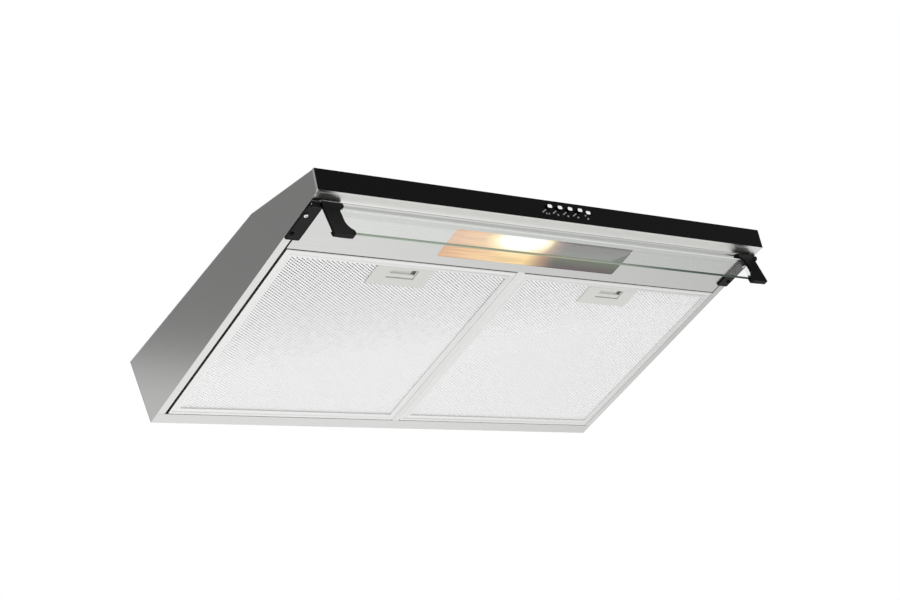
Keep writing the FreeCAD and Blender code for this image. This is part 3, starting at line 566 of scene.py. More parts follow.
lens = lampLens()
finishOf = {
    "stainless_sheet": steelAlongX,
    "polished_flange": polishedSteel,
    "black_fascia": blackPaint,
    "white_lacquer": whiteLacquer,
    "black_moulding": blackAbs,
    "visor_pane": clearGlass,
    "white_button": whiteCapGlow,
    "filter_aluminium": cassetteAluminium,
    "grey_latch": greyAbs,
    "spring_steel": springSteel,
    "lamp_lens": lens,
    "reflector_sheet": reflectorSheet,
    "lamp_ceramic": lampCeramic,
    "bulb_envelope": frostedBulb,
    "bulb_brass": brassCap,
    "blower_moulding": greyHousing,
    "motor_paint": motorPaint,
    "core_steel": coreSteel,
    "bright_steel": brightSteel,
    "bearing_bronze": bronze,
    "zinc_screw": zincSteel,
    "capacitor_case": capacitorCase,
    "loom_sleeve": loomSleeve,
}

# Every carried-over node gets its finish; sheet and moulded edges get a small round
softenedEdge = {"width": 0.3, "segments": 2, "angle": 40, "weld": 0.01}
for name, node in nodes.items():
    finish = steelAlongY if name.endswith("side_panel") else finishOf[slotOf[name]]
    node.data.materials.clear()
    node.data.materials.append(finish)
    weld = node.modifiers.new("weld", "WELD")
    weld.merge_threshold = softenedEdge["weld"] * mm
    bevel = node.modifiers.new("bevel", "BEVEL")
    bevel.width = softenedEdge["width"] * mm
    bevel.segments = softenedEdge["segments"]
    bevel.limit_method = "ANGLE"
    bevel.angle_limit = math.radians(softenedEdge["angle"])
    node.modifiers.new("weighted normals", "WEIGHTED_NORMAL").keep_sharp = True
print("finishes given to the carried-over nodes")


# Shape helpers, in millimetres
touching = 0.01  # points closer than this share a place
squareOn = 0.9  # a face with this much of its normal along a direction faces it
flatOn = 0.999  # and with this much it lies flat to it
down, up, forwards = Vector((0, 0, -1)), Vector((0, 0, 1)), Vector((0, -1, 0))
mirrorX = Matrix.Scale(-1, 4, (1, 0, 0))
standUp = Matrix.Rotation(math.radians(90), 4, "X")  # xy plates stand in xz, their thickness towards -y
alongX = Matrix.Rotation(math.radians(90), 4, "Y")  # shapes about z lie along x
faceDown = Matrix.Rotation(math.radians(180), 4, "X")


def boxOf(node):
    low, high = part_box(node)
    return low / mm, high / mm


def addBox(bm, low, high):
    low, high = Vector(low), Vector(high)
    place = Matrix.Translation((low + high) / 2) @ Matrix.Diagonal((*(high - low), 1))
    bmesh.ops.create_cube(bm, size=1, matrix=place)


def roundEdges(bm, edges, radius, segments=3):
    bmesh.ops.bevel(
        bm, geom=edges, offset=radius, affect="EDGES", segments=segments, profile=0.5, clamp_overlap=True,
        material=-1,
    )


def sharpEdges(bm, degrees=40):
    bm.normal_update()
    return [e for e in bm.edges if len(e.link_faces) == 2 and e.calc_face_angle(0) > math.radians(degrees)]


def uprightEdges(bm):
    return [e for e in bm.edges if abs(e.verts[0].co.z - e.verts[1].co.z) > touching]


# Edges along x through one point of the (y, z) outline
def foldLine(bm, y, z):
    return [e for e in bm.edges if all((v.co.yz - Vector((y, z))).length < touching for v in e.verts)]


def facesTowards(bm, direction, limit=squareOn):
    bm.normal_update()
    return [f for f in bm.faces if f.normal.dot(direction) > limit]


# Extrudes with the given operator and moves what has grown
def pull(bm, extrude, shift, **parts):
    grown = extrude(bm, **parts)["geom"]
    bmesh.ops.translate(bm, vec=shift, verts=[v for v in grown if isinstance(v, bmesh.types.BMVert)])
    return grown


def sink(bm, faces, shift):
    pull(bm, bmesh.ops.extrude_face_region, shift, geom=faces)
    bmesh.ops.delete(bm, geom=[f for f in faces if f.is_valid], context="FACES_ONLY")


def cutAcross(bm, axis, limit, way=1, **options):
    place, normal = Vector(), Vector()
    place[axis], normal[axis] = limit, way
    everything = bm.verts[:] + bm.edges[:] + bm.faces[:]
    cut = bmesh.ops.bisect_plane(bm, geom=everything, plane_co=place, plane_no=normal, **options)
    return cut["geom_cut"]


# Gives a sheet its wall on the upper side, so its underside has to look down first
def wallUpwards(bm, wall):
    bmesh.ops.recalc_face_normals(bm, faces=bm.faces)
    bm.normal_update()
    under = [f for f in bm.faces if f.calc_center_median().z < 1]  # the lowest millimetre
    if sum(f.normal.z * f.calc_area() for f in under) > 0:
        bmesh.ops.reverse_faces(bm, faces=bm.faces)
    bmesh.ops.solidify(bm, geom=bm.faces[:], thickness=wall)


def softBox(low, high, edge):
    bm = bmesh.new()
    addBox(bm, low, high)
    roundEdges(bm, sharpEdges(bm), edge, 2)
    return bm


def rectangle(low, high):
    return [(low[0], low[1]), (high[0], low[1]), (high[0], high[1]), (low[0], high[1])]


# Flat plate in the xy plane: the first loop is its outline and the others are holes,
# each with one radius for its corners or a row of them
def plate(loops, thickness):
    bm = bmesh.new()
    for points, radius in loops:
        ring = [bm.verts.new((x, y, 0)) for x, y in points]
        bm.faces.new(ring)
        radii = radius if isinstance(radius, tuple) else [radius] * len(ring)
        for corner, offset in zip(ring, radii):
            if offset:
                bmesh.ops.bevel(
                    bm, geom=[corner], offset=offset, affect="VERTICES", segments=6, profile=0.5, material=-1
                )
    if len(loops) > 1:
        bmesh.ops.delete(bm, geom=bm.faces[:], context="FACES_ONLY")
        bmesh.ops.triangle_fill(bm, use_beauty=True, edges=bm.edges[:])
    if thickness:
        pull(bm, bmesh.ops.extrude_face_region, (0, 0, thickness), geom=bm.faces[:])
    bmesh.ops.recalc_face_normals(bm, faces=bm.faces)
    return bm


# Turned piece about z from (radius, height) points
def turned(points, steps):
    bm = bmesh.new()
    verts = [bm.verts.new((radius, 0, height)) for radius, height in points]
    edges = [bm.edges.new(pair) for pair in zip(verts, verts[1:])]
    bmesh.ops.spin(
        bm, geom=verts + edges, cent=(0, 0, 0), axis=up, dvec=(0, 0, 0), angle=math.tau, steps=steps,
        use_merge=True,
    )
    bmesh.ops.remove_doubles(bm, verts=bm.verts, dist=touching / 10)
    bmesh.ops.recalc_face_normals(bm, faces=bm.faces)
    return bm


# Adds one shape to another, at a place and with one of the piece's finishes
def join(bm, shape, place=Matrix(), finish=None):
    bmesh.ops.transform(shape, matrix=place, verts=shape.verts)
    if place.determinant() < 0:
        bmesh.ops.reverse_faces(shape, faces=shape.faces)
    if finish is not None:
        for face in shape.faces:
            face.material_index = finish
    mesh = bpy.data.meshes.new("shape")
    shape.to_mesh(mesh)
    shape.free()
    bm.from_mesh(mesh)
    bpy.data.meshes.remove(mesh)


def finishPiece(bm, name, node, finishes, smooth=35):
    bmesh.ops.scale(bm, vec=(mm, mm, mm), verts=bm.verts)
    mesh = bpy.data.meshes.new(name)
    bm.to_mesh(mesh)
    bm.free()
    mesh.polygons.foreach_set("use_smooth", [True] * len(mesh.polygons))
    mesh.set_sharp_from_angle(angle=math.radians(smooth))
    for finish in finishes:
        mesh.materials.append(finish)
    piece = bpy.data.objects.new(name, mesh)
    shown.link(piece)
    if smooth:  # flat faces keep flat shading beside their rounded edges
        piece.modifiers.new("weighted normals", "WEIGHTED_NORMAL").keep_sharp = True
    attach(piece, bodyOf[node])
    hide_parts(node)


# Fascia: painted strip with five oval holes, bare along its bottom and ends, and its printed marks
fascia = {
    "height": 31, "lean": 9, "thick": 4, "hole": (10.6, 6.6), "buttonRise": 21, "corner": 0.6,
    "dash": {"offset": -9.7, "rise": 14, "length": 9.9, "width": 1.9, "tilt": 33},
    "shortDash": {"offset": -7.8, "rise": 15.2, "length": 4.2, "width": 1.9, "tilt": 33},
    "dot": {"offset": -3.5, "rise": 10.2, "size": (4, 2.9)},
    "pair": {"spread": 2.5, "size": (3, 2.9)},
    "inkThick": 0.12,
}
low, high = boxOf("fascia_panel")
lean = math.atan2(fascia["lean"], fascia["height"])
onFascia = Matrix.Translation((0, low.y + fascia["lean"], 0)) @ Matrix.Rotation(lean, 4, "X") @ standUp
slope = math.hypot(fascia["lean"], fascia["height"])
buttonNodes = [part + "_button" for part in ("stop", "low_speed", "mid_speed", "high_speed", "lamp")]
buttonBoxes = [boxOf(node) for node in buttonNodes]
buttonXs = [(buttonLow.x + buttonHigh.x) / 2 for buttonLow, buttonHigh in buttonBoxes]


# The radius is just short of half the width, so that the corner rounds never meet
def oval(wide, tall, x=0, y=0):
    return rectangle((x - wide / 2, y - tall / 2), (x + wide / 2, y + tall / 2)), 0.49 * min(wide, tall)


fasciaLoops = [(rectangle((low.x, 0), (high.x, slope)), fascia["corner"])]
fasciaLoops += [oval(*fascia["hole"], x, fascia["buttonRise"]) for x in buttonXs]
bm = plate(fasciaLoops, -fascia["thick"])
rearBottom = [v for v in bm.verts if v.co.z < 0 and v.co.y < 2 * fascia["corner"]]
levelCut = (0, -fascia["thick"] * math.tan(lean), 0)
bmesh.ops.translate(bm, vec=levelCut, verts=rearBottom)
bmesh.ops.transform(bm, matrix=onFascia, verts=bm.verts)
bm.normal_update()
for face in bm.faces:
    spot = face.calc_center_median()
    sideways = abs(face.normal.x) > 0.5  # the ends and most of their rounds
    atEnd = sideways and abs(spot.x) > high.x - 2 * fascia["corner"]
    underneath = face.normal.z < -squareOn and spot.z < low.z + fascia["corner"]
    face.material_index = 1 if atEnd or underneath else 0
dot, pair = fascia["dot"], fascia["pair"]
for index, x in enumerate(buttonXs):
    dash = fascia["shortDash"] if index == len(buttonXs) - 1 else fascia["dash"]
    bar = plate([oval(dash["length"], dash["width"])], fascia["inkThick"])
    tilt = Matrix.Rotation(math.radians(dash["tilt"]), 4, "Z")
    join(bm, bar, onFascia @ Matrix.Translation((x + dash["offset"], dash["rise"], 0)) @ tilt, 2)
    shifts, size = (0,), dot["size"]
    if index == 0:
        shifts, size = (-pair["spread"], pair["spread"]), pair["size"]
    for shift in shifts:
        mark = plate([oval(*size)], fascia["inkThick"])
        join(bm, mark, onFascia @ Matrix.Translation((x + dot["offset"] + shift, dot["rise"], 0)), 2)
finishPiece(bm, "fascia_strip", "fascia_panel", [blackPaint, bareEdge, greyInk])

# Push buttons: oval black plungers with white caps, on stems; the pressed one stands as far in as its node
button = {
    "size": (10, 6), "proud": 4, "length": 13, "edge": 0.6, "dome": 0.25, "domeSteps": (0.25, 0.5),
    "stemRadius": 2.3, "stem": 10.6, "stemEdge": 0.4, "stemLap": 0.5,
}
proudest = min(buttonLow.y for buttonLow, buttonHigh in buttonBoxes)
for x, node, (buttonLow, buttonHigh) in zip(buttonXs, buttonNodes, buttonBoxes):
    bm = plate([oval(*button["size"])], button["length"])
    roundEdges(bm, facesTowards(bm, up)[0].edges[:], button["edge"])
    front = facesTowards(bm, up, flatOn)
    for step in button["domeSteps"]:
        bmesh.ops.inset_region(
            bm, faces=front, thickness=step, depth=button["dome"] * step, use_even_offset=True
        )
    bm.normal_update()
    for face in bm.faces:
        face.material_index = 0 if face.normal.z > squareOn else 1
    radius, end, stemEdge = button["stemRadius"], -button["stem"], button["stemEdge"]
    stem = [(radius, button["stemLap"]), (radius, end + stemEdge), (radius - stemEdge, end), (0, end)]
    join(bm, turned(stem, steps=24), finish=1)
    pushed = (buttonLow.y - proudest) / math.cos(lean)
    outwards = button["proud"] - button["length"] - pushed
    place = onFascia @ Matrix.Translation((x, fascia["buttonRise"], outwards))
    bmesh.ops.transform(bm, matrix=place, verts=bm.verts)
    finishPiece(bm, node + "_cap", node, [whiteCapGlow, blackAbs])
print("fascia and buttons made")

# Front rail: web behind the fascia, polished flange below it, lip up into the groove;
# its outline is drawn at one end and run along x, its folds rounded, then given its wall
rail = {"flange": 17.5, "lip": 12, "frontFold": 0.5, "rearFold": 4, "sheet": 0.8}
low, high = boxOf("front_rail")
grooveFront = high.y
outline = [(low.y, high.z), (high.y - rail["flange"], low.z), (high.y, low.z), (high.y, rail["lip"])]
bm = bmesh.new()
line = [bm.verts.new((-high.x, y, z)) for y, z in outline]
runs = [bm.edges.new(ends) for ends in zip(line, line[1:])]
pull(bm, bmesh.ops.extrude_edge_only, (2 * high.x, 0, 0), edges=runs)
bmesh.ops.recalc_face_normals(bm, faces=bm.faces)
for (y, z), radius in zip(outline[1:-1], (rail["frontFold"], rail["rearFold"])):
    roundEdges(bm, foldLine(bm, y, z), radius, 6)
bmesh.ops.solidify(bm, geom=bm.faces[:], thickness=rail["sheet"])
finishPiece(bm, "front_flange", "front_rail", [polishedSteel])

# Lamp panel: plate with the lamp opening, folded up into the groove in front and towards the filters behind
lampPanel = {
    "half": 433, "frontLip": 12, "rearLip": 4, "frontFold": 4, "rearFold": 1.2, "sheet": 0.8,
    "opening": (360, 57), "openingCorner": 4, "strip": 8, "hookInset": 12, "rearReach": 1.6,
    "grooveFloor": 2, "grooveGap": 0.1, "grooveLap": 0.4,
}
low, high = boxOf("lamp_panel")
coverLow, coverHigh = boxOf("lamp_cover")
lampY = (coverLow.y + coverHigh.y) / 2
halfX, strip, sheet = lampPanel["half"], lampPanel["strip"], lampPanel["sheet"]
frontLip, floorZ = lampPanel["frontLip"], lampPanel["grooveFloor"]
rearEdge = high.y + lampPanel["rearReach"]
halfOpening = Vector(lampPanel["opening"]) / 2
opening = rectangle((-halfOpening.x, lampY - halfOpening.y), (halfOpening.x, lampY + halfOpening.y))
flat = rectangle((-halfX, low.y + strip), (halfX, rearEdge - strip))
bm = plate([(flat, 0), (opening, lampPanel["openingCorner"])], 0)
for edgeY, step, lip, fold in (
    (low.y, -strip, frontLip, lampPanel["frontFold"]),
    (rearEdge, strip, lampPanel["rearLip"], lampPanel["rearFold"]),
):
    border = [e for e in bm.edges if e.is_boundary]
    rim = [e for e in border if all(abs(v.co.y - edgeY + step) < touching for v in e.verts)]
    grown = pull(bm, bmesh.ops.extrude_edge_only, (0, step, 0), edges=rim)
    rim = [e for e in grown if isinstance(e, bmesh.types.BMEdge)]
    pull(bm, bmesh.ops.extrude_edge_only, (0, 0, lip), edges=rim)
    roundEdges(bm, foldLine(bm, edgeY, 0), fold, 6)
wallUpwards(bm, sheet)
addBox(
    bm, (-halfX, grooveFront + lampPanel["grooveGap"], floorZ),
    (halfX, low.y + lampPanel["grooveLap"], floorZ + sheet),
)
inset = lampPanel["hookInset"]
for side in (-1, 1):  # an end wall, and the hook on top of it
    for reach, bottom, top in ((high.x, frontLip, high.z), (halfX, sheet, frontLip)):
        start, end = sorted((side * (halfX - sheet), side * reach))
        addBox(bm, (start, low.y + inset, bottom), (end, high.y - inset, top))
finishPiece(bm, "lamp_panel_sheet", "lamp_panel", [steelAlongX])

# Lamp cover: flat lens stepped down from the rim that rests on the panel
cover = {"rim": 5.4, "rimThick": 1.6, "lensDrop": 0.8, "rimCorner": 9, "edge": 0.25}
bm = plate([(rectangle(coverLow.xy, coverHigh.xy), cover["rimCorner"])], cover["rimThick"])
bmesh.ops.translate(bm, vec=(0, 0, cover["lensDrop"]), verts=bm.verts)
under = facesTowards(bm, down)
bmesh.ops.inset_region(bm, faces=under, thickness=cover["rim"], use_even_offset=True, use_boundary=True)
sink(bm, under, (0, 0, -cover["lensDrop"]))
lensEdges = [e for e in sharpEdges(bm) if all(v.co.z < touching for v in e.verts)]
roundEdges(bm, lensEdges, cover["edge"], 2)
finishPiece(bm, "lamp_lens_cover", "lamp_cover", [lens])
print("flange, lamp panel and lens made")


# Block with a pocket pressed up into its underside
def pocketedBlock(low, high, pocketLow, pocketHigh, corner, edge, undercut=None):
    bm = bmesh.new()
    addBox(bm, low, high)
    roundEdges(bm, uprightEdges(bm), corner, 4)
    for axis in (0, 1):
        for limit in (pocketLow[axis], pocketHigh[axis]):
            cutAcross(bm, axis, limit)
    mouth = []
    for face in facesTowards(bm, down):
        spot = face.calc_center_median()
        if all(pocketLow[i] < spot[i] < pocketHigh[i] for i in (0, 1)):
            mouth.append(face)
    sink(bm, mouth, (0, 0, pocketHigh[2] - low[2]))
    bmesh.ops.recalc_face_normals(bm, faces=bm.faces)
    if undercut:  # the pocket runs on rearwards behind the face
        level, reach = undercut
        wall = [f for f in bm.faces if abs(f.calc_center_median().y - pocketHigh[1]) < touching]
        edging = [v for f in wall for v in f.verts] + [e for f in wall for e in f.edges]
        cutThrough = list(dict.fromkeys(edging + wall))
        bmesh.ops.bisect_plane(bm, geom=cutThrough, plane_co=(0, 0, level), plane_no=up)
        wall = [f for f in bm.faces if abs(f.calc_center_median().y - pocketHigh[1]) < touching]
        sink(bm, [f for f in wall if f.calc_center_median().z > level], (0, reach, 0))
        bmesh.ops.recalc_face_normals(bm, faces=bm.faces)
    rimEdges = [e for e in sharpEdges(bm) if all(abs(v.co.z - low[2]) < touching for v in e.verts)]
    roundEdges(bm, rimEdges, edge)
    return bm


# Cassette filters: folded frame with a pressed bead, strands over foil layers, latch plate and slide
filterSet = {
    "rearTabs": 10, "thick": 10, "border": 13, "wall": 0.8, "hem": 1.6, "edge": 1.1,
    "bead": {"out": 4, "slope": 0.9, "deep": 0.6, "wide": 3.2},
    "tab": {"width": 30, "inset": 60, "low": 1.1, "thick": 1.5, "lap": 1, "edge": 0.4},
    "rearLip": {"reach": 1.5, "low": 0.5, "high": 1.3, "inset": 1, "lap": 0.5},
    "outerGap": {"left": 2.3, "right": -2.4}, "innerGap": -0.6,
}
strand = {
    "long": 8.6, "short": 4.6, "thick": 0.3, "z": 1.7, "topGap": 0.4, "foilZ": 2.6, "foilThick": 0.4,
    "families": ({"way": 1, "wide": 2.5, "tilt": 8}, {"way": -1, "wide": 1.8, "tilt": 8}),
}
latch = {
    "corner": 3, "edge": 0.8, "opening": (51, 19.6), "openingFront": 4, "face": 1, "undercut": 8.4,
    "pocketFloor": 5.3, "pad": (49, 18.4), "padFront": 0.8, "padLow": 1.2, "padTop": 5, "padCorner": 1,
    "finger": (45, 9.4), "fingerFront": 1.2, "fingerFloor": 4.7, "fingerEdge": 0.4,
    "shadePatchWide": 4.5, "shadePatchDeep": 0.6, "slack": 0.1,
    "neck": (12, 8), "neckLap": 0.2, "neckShort": 0.5, "tongue": 36, "tongueThick": 1, "tongueEdge": 0.3,
}


def cassetteFrame(low, high):
    bm = bmesh.new()
    rear = high.y - filterSet["rearTabs"]
    addBox(bm, low, (high.x, rear, filterSet["thick"]))
    outer = bm.edges[:]
    bead = filterSet["bead"]
    pressed = (
        (bead["out"], 0), (bead["slope"], -bead["deep"]), (bead["wide"], 0), (bead["slope"], bead["deep"]),
    )
    for direction, steps in ((down, pressed), (up, ())):
        face = facesTowards(bm, direction)
        left = filterSet["border"] - sum(thickness for thickness, depth in steps)
        for thickness, depth in (*steps, (left, 0), (touching, -filterSet["hem"])):
            bmesh.ops.inset_region(bm, faces=face, thickness=thickness, depth=depth, use_even_offset=True)
        bmesh.ops.delete(bm, geom=face, context="FACES_ONLY")
    roundEdges(bm, outer, filterSet["edge"])
    wallUpwards(bm, filterSet["wall"])
    tab, lip = filterSet["tab"], filterSet["rearLip"]
    for x in (low.x + tab["inset"], high.x - tab["inset"] - tab["width"]):
        tabLow = (x, rear - tab["lap"], tab["low"])
        tabHigh = (x + tab["width"], high.y, tab["low"] + tab["thick"])
        join(bm, softBox(tabLow, tabHigh, tab["edge"]))
    addBox(
        bm, (low.x + lip["inset"], rear - lip["lap"], lip["low"]),
        (high.x - lip["inset"], rear + lip["reach"], lip["high"]),
    )
    return bm


# One layer of expanded metal over a rectangle: two families of thin tilted strands
def strandLayer(low, high, z):
    bm = bmesh.new()
    pitch = strand["long"] * strand["short"] / math.hypot(strand["long"], strand["short"])
    turn = math.atan2(strand["short"], strand["long"])
    centre = Vector(((low[0] + high[0]) / 2, (low[1] + high[1]) / 2, z))
    reach = math.hypot(high[0] - low[0], high[1] - low[1]) / 2
    count = int(reach / pitch)
    for family in strand["families"]:
        angle = family["way"] * turn
        tilted = Matrix.Rotation(angle, 4, "Z") @ Matrix.Rotation(math.radians(family["tilt"]), 4, "X")
        shape = Matrix.Diagonal((2 * reach, family["wide"], strand["thick"], 1))
        across = Vector((-math.sin(angle), math.cos(angle), 0))
        origin = centre.dot(across) // pitch * pitch
        for index in range(-count, count + 1):
            offset = across * (origin + index * pitch - centre.dot(across))
            bmesh.ops.create_cube(bm, size=1, matrix=Matrix.Translation(centre + offset) @ tilted @ shape)
    for axis, limit, way in ((0, low[0], -1), (0, high[0], 1), (1, low[1], -1), (1, high[1], 1)):
        cut = cutAcross(bm, axis, limit, way, clear_outer=True)
        bmesh.ops.edgeloop_fill(bm, edges=[e for e in cut if isinstance(e, bmesh.types.BMEdge)])
    return bm


for side in ("left", "right"):
    low, high = boxOf(side + "_filter_frame")
    outerGap, innerGap = filterSet["outerGap"][side], filterSet["innerGap"]
    low.x += outerGap if side == "left" else innerGap
    high.x -= innerGap if side == "left" else outerGap
    bm = cassetteFrame(low, high)
    finishPiece(bm, side + "_filter_cassette", side + "_filter_frame", [cassetteAluminium])

    meshLow, meshHigh = boxOf(side + "_filter_mesh")
    plateLow, plateHigh = boxOf(side + "_latch_plate")
    bm = bmesh.new()
    foil = bmesh.new()
    regions = (
        ((meshLow.x, meshLow.y), (plateLow.x, plateHigh.y)),
        ((plateHigh.x, meshLow.y), (meshHigh.x, plateHigh.y)),
        ((meshLow.x, plateHigh.y), (meshHigh.x, meshHigh.y)),
    )
    foilLow, foilHigh = strand["foilZ"], strand["foilZ"] + strand["foilThick"]
    for regionLow, regionHigh in regions:
        join(bm, strandLayer(regionLow, regionHigh, strand["z"]), finish=0)
        addBox(foil, (*regionLow, foilLow), (*regionHigh, foilHigh))
    join(bm, strandLayer(meshLow.xy, meshHigh.xy, meshHigh.z - strand["topGap"]), finish=0)
    join(bm, foil, finish=1)
    finishPiece(bm, side + "_filter_strands", side + "_filter_mesh", [strandAluminiumGlow, foilLayersPaintedShade])

    latchX = (plateLow.x + plateHigh.x) / 2
    openWide, openDeep = latch["opening"]
    openY = plateLow.y + latch["openingFront"]
    bm = pocketedBlock(
        plateLow, plateHigh,
        (latchX - openWide / 2, openY), (latchX + openWide / 2, openY + openDeep, latch["pocketFloor"]),
        latch["corner"], latch["edge"], (latch["face"], latch["undercut"]),
    )
    finishPiece(bm, side + "_latch_bezel", side + "_latch_plate", [greyAbs])

    slideLow, slideHigh = boxOf(side + "_latch_slider")
    padWide, padDeep = latch["pad"]
    padY = openY + latch["padFront"]
    fingerWide, fingerDeep = latch["finger"]
    fingerY, fingerFloor = padY + latch["fingerFront"], latch["fingerFloor"]
    bm = pocketedBlock(
        Vector((latchX - padWide / 2, padY, latch["padLow"])),
        Vector((latchX + padWide / 2, padY + padDeep, latch["padTop"])),
        (latchX - fingerWide / 2, fingerY), (latchX + fingerWide / 2, fingerY + fingerDeep, fingerFloor),
        latch["padCorner"], latch["fingerEdge"],
    )
    slack = latch["slack"]
    # The recess's right wall takes the darker plastic: painted shade
    for face in facesTowards(bm, Vector((-1, 0, 0))):
        offset = face.calc_center_median() - Vector((latchX, fingerY + fingerDeep / 2, 0))
        if abs(offset.x) < fingerWide / 2 + slack and abs(offset.y) < fingerDeep / 2 + slack:
            face.material_index = 1
    recessShadePatch = bmesh.new()  # dark patch at the recess's right end: painted shade
    recessShadePatchEnd = latchX + fingerWide / 2 - slack
    addBox(
        recessShadePatch, (recessShadePatchEnd - latch["shadePatchWide"], fingerY + slack, fingerFloor - latch["shadePatchDeep"]),
        (recessShadePatchEnd, fingerY + fingerDeep - slack, fingerFloor + slack),
    )
    join(bm, recessShadePatch, finish=1)
    neckWide, neckDeep = latch["neck"]
    neckY = padY + (padDeep - neckDeep) / 2
    neckRear = neckY + neckDeep
    for half, front, bottom, top in (
        (neckWide / 2, neckY, latch["padTop"] - latch["neckLap"], slideHigh.z - latch["neckShort"]),
        (latch["tongue"] / 2, slideLow.y, slideHigh.z - latch["tongueThick"], slideHigh.z),
    ):
        link = softBox((latchX - half, front, bottom), (latchX + half, neckRear, top), latch["tongueEdge"])
        join(bm, link, finish=0)
    finishPiece(bm, side + "_latch_pull", side + "_latch_slider", [greyAbs, recessShadeAbs])
print("filters and latches made")

# Visor: fixed brackets with ribbed knuckles, boot-shaped arms, and the glass between them;
# the boot's toe is in shares of its foot's height, and its rounds go round from the outer top corner
visor = {
    "knuckle": 4.4, "rib": 0.45, "ribCount": 9, "pinRadius": 1.55, "capLap": 0.2, "capEdge": 0.4,
    "plateThick": 3, "plateCorner": 2.5, "plateGap": 0.5, "plateEdge": 0.8,
    "panel": {"inset": 1, "slope": 0.4, "deep": 0.35}, "earWide": 12, "earLap": 1, "softEdge": 0.5,
    "armThick": 4, "armWide": 36, "armWaist": 26, "armRise": 2, "armEdge": 0.7, "notchDrop": 6.5,
    "footHigh": 13, "footLift": 4.5, "toe": {"instep": 0.35, "back": 0.35, "dip": 0.05, "drop": 0.3},
    "bootRounds": (1, 1, 1, 3, 7, 3, 2.2, 5.5, 2),
    "soleRounds": (2, 5.5, 0.5, 0.5), "soleShort": 0.5, "soleLap": 1,
    "hook": {"thick": 2, "low": 5, "high": 8, "inset": 4, "lap": 1, "step": 0.1},
    "glassEdge": 0.35, "glassRound": 1.7, "glassGap": 0.2,
}


# Ribbed barrel along x, with its pin hole
def ribbedBarrel(start, length, axis):
    bm = bmesh.new()
    perRib = 4  # points round each rib, the first of them sunk
    ring = bmesh.ops.create_circle(bm, segments=visor["ribCount"] * perRib, radius=visor["knuckle"])["verts"]
    for vert in ring[::perRib]:
        vert.co *= 1 - visor["rib"] / visor["knuckle"]
    bmesh.ops.create_circle(bm, segments=20, radius=visor["pinRadius"])
    bmesh.ops.triangle_fill(bm, use_beauty=True, edges=bm.edges[:])
    pull(bm, bmesh.ops.extrude_face_region, (0, 0, length), geom=bm.faces[:])
    bmesh.ops.recalc_face_normals(bm, faces=bm.faces)
    bmesh.ops.transform(bm, matrix=Matrix.Translation((start, *axis)) @ alongX, verts=bm.verts)
    return bm


glassLow, glassHigh = boxOf("visor_glass")
bracketLow, bracketHigh = boxOf("left_visor_bracket")
armLow, armHigh = boxOf("left_visor_arm")
armLow.z += visor["footLift"]
knuckle = visor["knuckle"]
axisY, axisZ = bracketLow.y + knuckle, bracketLow.z + knuckle
axis = (axisY, axisZ)
armBack = armLow.y + visor["armThick"]
waistX = armLow.x + visor["armWaist"]
innerX = armLow.x + visor["armWide"]
armTop = axisZ + visor["armRise"]
foot, toe = visor["footHigh"], visor["toe"]
footTop = armLow.z + foot
boot = [
    (armLow.x, armTop), (innerX, armTop), (innerX, axisZ - knuckle),
    (waistX, axisZ - knuckle - visor["notchDrop"]), (waistX, footTop + foot * toe["instep"]),
    (armHigh.x - foot * toe["back"], footTop - foot * toe["dip"]), (armHigh.x, footTop - foot * toe["drop"]),
    (armHigh.x, armLow.z), (armLow.x, armLow.z),
]
soleTop, soleBack = glassLow.z - visor["glassGap"], glassHigh.y - visor["soleShort"]
panel, hook, softEdge = visor["panel"], visor["hook"], visor["softEdge"]
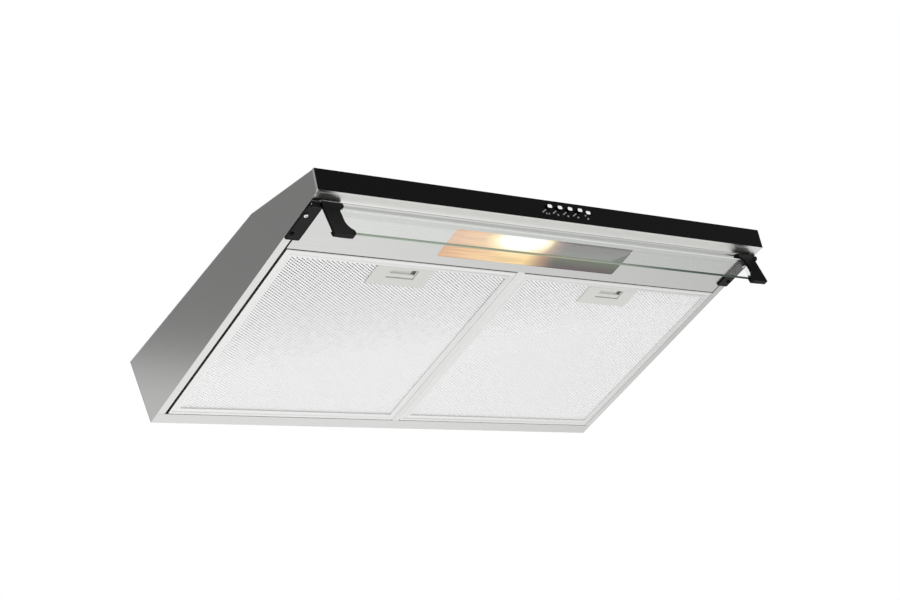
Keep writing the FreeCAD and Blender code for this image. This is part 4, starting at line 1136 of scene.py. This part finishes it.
for side, mirror in (("left", Matrix()), ("right", mirrorX)):
    bm = bmesh.new()
    fixed = bmesh.new()
    addBox(fixed, (bracketLow.x, axisY + knuckle + visor["plateGap"], -visor["plateThick"]), bracketHigh)
    roundEdges(fixed, uprightEdges(fixed), visor["plateCorner"], 4)
    roundEdges(fixed, facesTowards(fixed, down)[0].edges[:], visor["plateEdge"])
    under = facesTowards(fixed, down, flatOn)
    for margin, rise in ((panel["inset"], 0), (panel["slope"], -panel["deep"])):
        bmesh.ops.inset_region(
            fixed, faces=under, thickness=margin, depth=rise, use_even_offset=True, use_boundary=True
        )
    join(bm, fixed, mirror)
    earHigh = (bracketLow.x + visor["earWide"], axisY + knuckle + visor["earLap"], bracketHigh.z)
    join(bm, softBox((bracketLow.x, *axis), earHigh, softEdge), mirror)
    join(bm, ribbedBarrel(bracketLow.x, visor["earWide"], axis), mirror)
    finishPiece(bm, side + "_hinge_bracket", side + "_visor_bracket", [blackAbs])

    bm = bmesh.new()
    arm = plate([(boot, visor["bootRounds"])], visor["armThick"])
    bmesh.ops.transform(arm, matrix=Matrix.Translation((0, armBack, 0)) @ standUp, verts=arm.verts)
    roundEdges(arm, facesTowards(arm, forwards)[0].edges[:], visor["armEdge"])
    join(bm, arm, mirror)
    join(bm, ribbedBarrel(armLow.x, visor["armWide"], axis), mirror)
    radius, depth, capEdge = knuckle - visor["rib"], armHigh.x - innerX, visor["capEdge"]
    capLow = -visor["capLap"]
    cap = [(0, capLow), (radius, capLow), (radius, depth - capEdge), (radius - capEdge, depth), (0, depth)]
    join(bm, turned(cap, steps=36), mirror @ Matrix.Translation((innerX, *axis)) @ alongX)
    soleSide = rectangle((armLow.x, armLow.z), (armHigh.x, soleTop))
    sole = plate([(soleSide, visor["soleRounds"])], soleBack - armBack + visor["soleLap"])
    bmesh.ops.transform(sole, matrix=Matrix.Translation((0, soleBack, 0)) @ standUp, verts=sole.verts)
    roundEdges(sole, sharpEdges(sole, 60), visor["armEdge"])
    join(bm, sole, mirror)
    rear = glassHigh.y + visor["glassGap"]  # the hook holds the glass from behind and runs under it
    for front, top in ((rear, glassLow.z + hook["high"]), (soleBack - hook["lap"], soleTop - hook["step"])):
        hookLow = (glassLow.x + visor["glassGap"], front, soleTop - hook["low"])
        hookHigh = (armHigh.x - hook["inset"], rear + hook["thick"], top)
        join(bm, softBox(hookLow, hookHigh, softEdge), mirror)
    finishPiece(bm, side + "_boot_arm", side + "_visor_arm", [blackAbs])

# Pan-head screws with cross recesses: a bright one in front and a blackened one behind on each bracket
panScrew = {
    "head": 3.3, "sides": 32, "high": 1.6, "round": 0.9, "cross": (3.6, 0.9), "deep": 1,
    "shank": 1.8, "length": 8, "tip": 1, "lap": 0.2,
}


def crossScrew():
    head, high, length = panScrew["head"], panScrew["high"], panScrew["length"]
    span, width = panScrew["cross"][0] / 2, panScrew["cross"][1] / 2
    cross = [(span, width), (width, width), (width, span)]
    cross += [(-x, y) for x, y in reversed(cross)]
    cross += [(-x, -y) for x, y in cross]
    turns = [math.tau * step / panScrew["sides"] for step in range(panScrew["sides"])]
    rim = [(head * math.cos(turn), head * math.sin(turn)) for turn in turns]
    screw = plate([(rim, 0), (cross, 0)], high)
    top = [e for e in sharpEdges(screw) if all(v.co.z > high - touching for v in e.verts)]
    outer = [e for e in top if all(v.co.xy.length > head - touching for v in e.verts)]
    roundEdges(screw, outer, panScrew["round"], 4)
    join(screw, plate([(rim, 0)], high - panScrew["deep"]))
    shank = panScrew["shank"]
    point = [(shank, panScrew["lap"]), (shank, panScrew["tip"] - length), (0, -length)]
    join(screw, turned(point, steps=20))
    return screw


bm = bmesh.new()
screwLow, screwHigh = boxOf("visor_bracket_screws")
screwX = screwHigh.x - panScrew["head"]
seat = screwLow.z + panScrew["high"]
for y, finish in ((screwLow.y + panScrew["head"], 0), (screwHigh.y - panScrew["head"], 1)):
    for x in (-screwX, screwX):
        join(bm, crossScrew(), Matrix.Translation((x, y, seat)) @ faceDown, finish)
finishPiece(bm, "bracket_cross_screws", "visor_bracket_screws", [zincSteel, blackAbs])

# Glass pane: clear faces, a pencil-ground bottom edge and bevelled other edges in their own finishes
bm = bmesh.new()
addBox(bm, glassLow, glassHigh)
bottomEdges = [e for e in bm.edges if all(v.co.z < glassLow.z + touching for v in e.verts)]
longEdges = [e for e in bottomEdges if e.calc_length() > glassHigh.x]
roundEdges(bm, longEdges, visor["glassRound"], 5)
roundEdges(bm, sharpEdges(bm, 60), visor["glassEdge"], 2)
bm.normal_update()
# The paler finish on the top and its bevels carries a painted glow
for face in bm.faces:
    edgeFinish = 2 if face.normal.z > 0.3 else 1  # the top and its bevels are paler
    face.material_index = 0 if abs(face.normal.y) > flatOn else edgeFinish
finishPiece(bm, "glass_pane", "visor_glass", [clearGlass, greenEdgePaintedLight, paleEdgeGlow], smooth=0)
print("visor made")

# Size of the finished model
low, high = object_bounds()
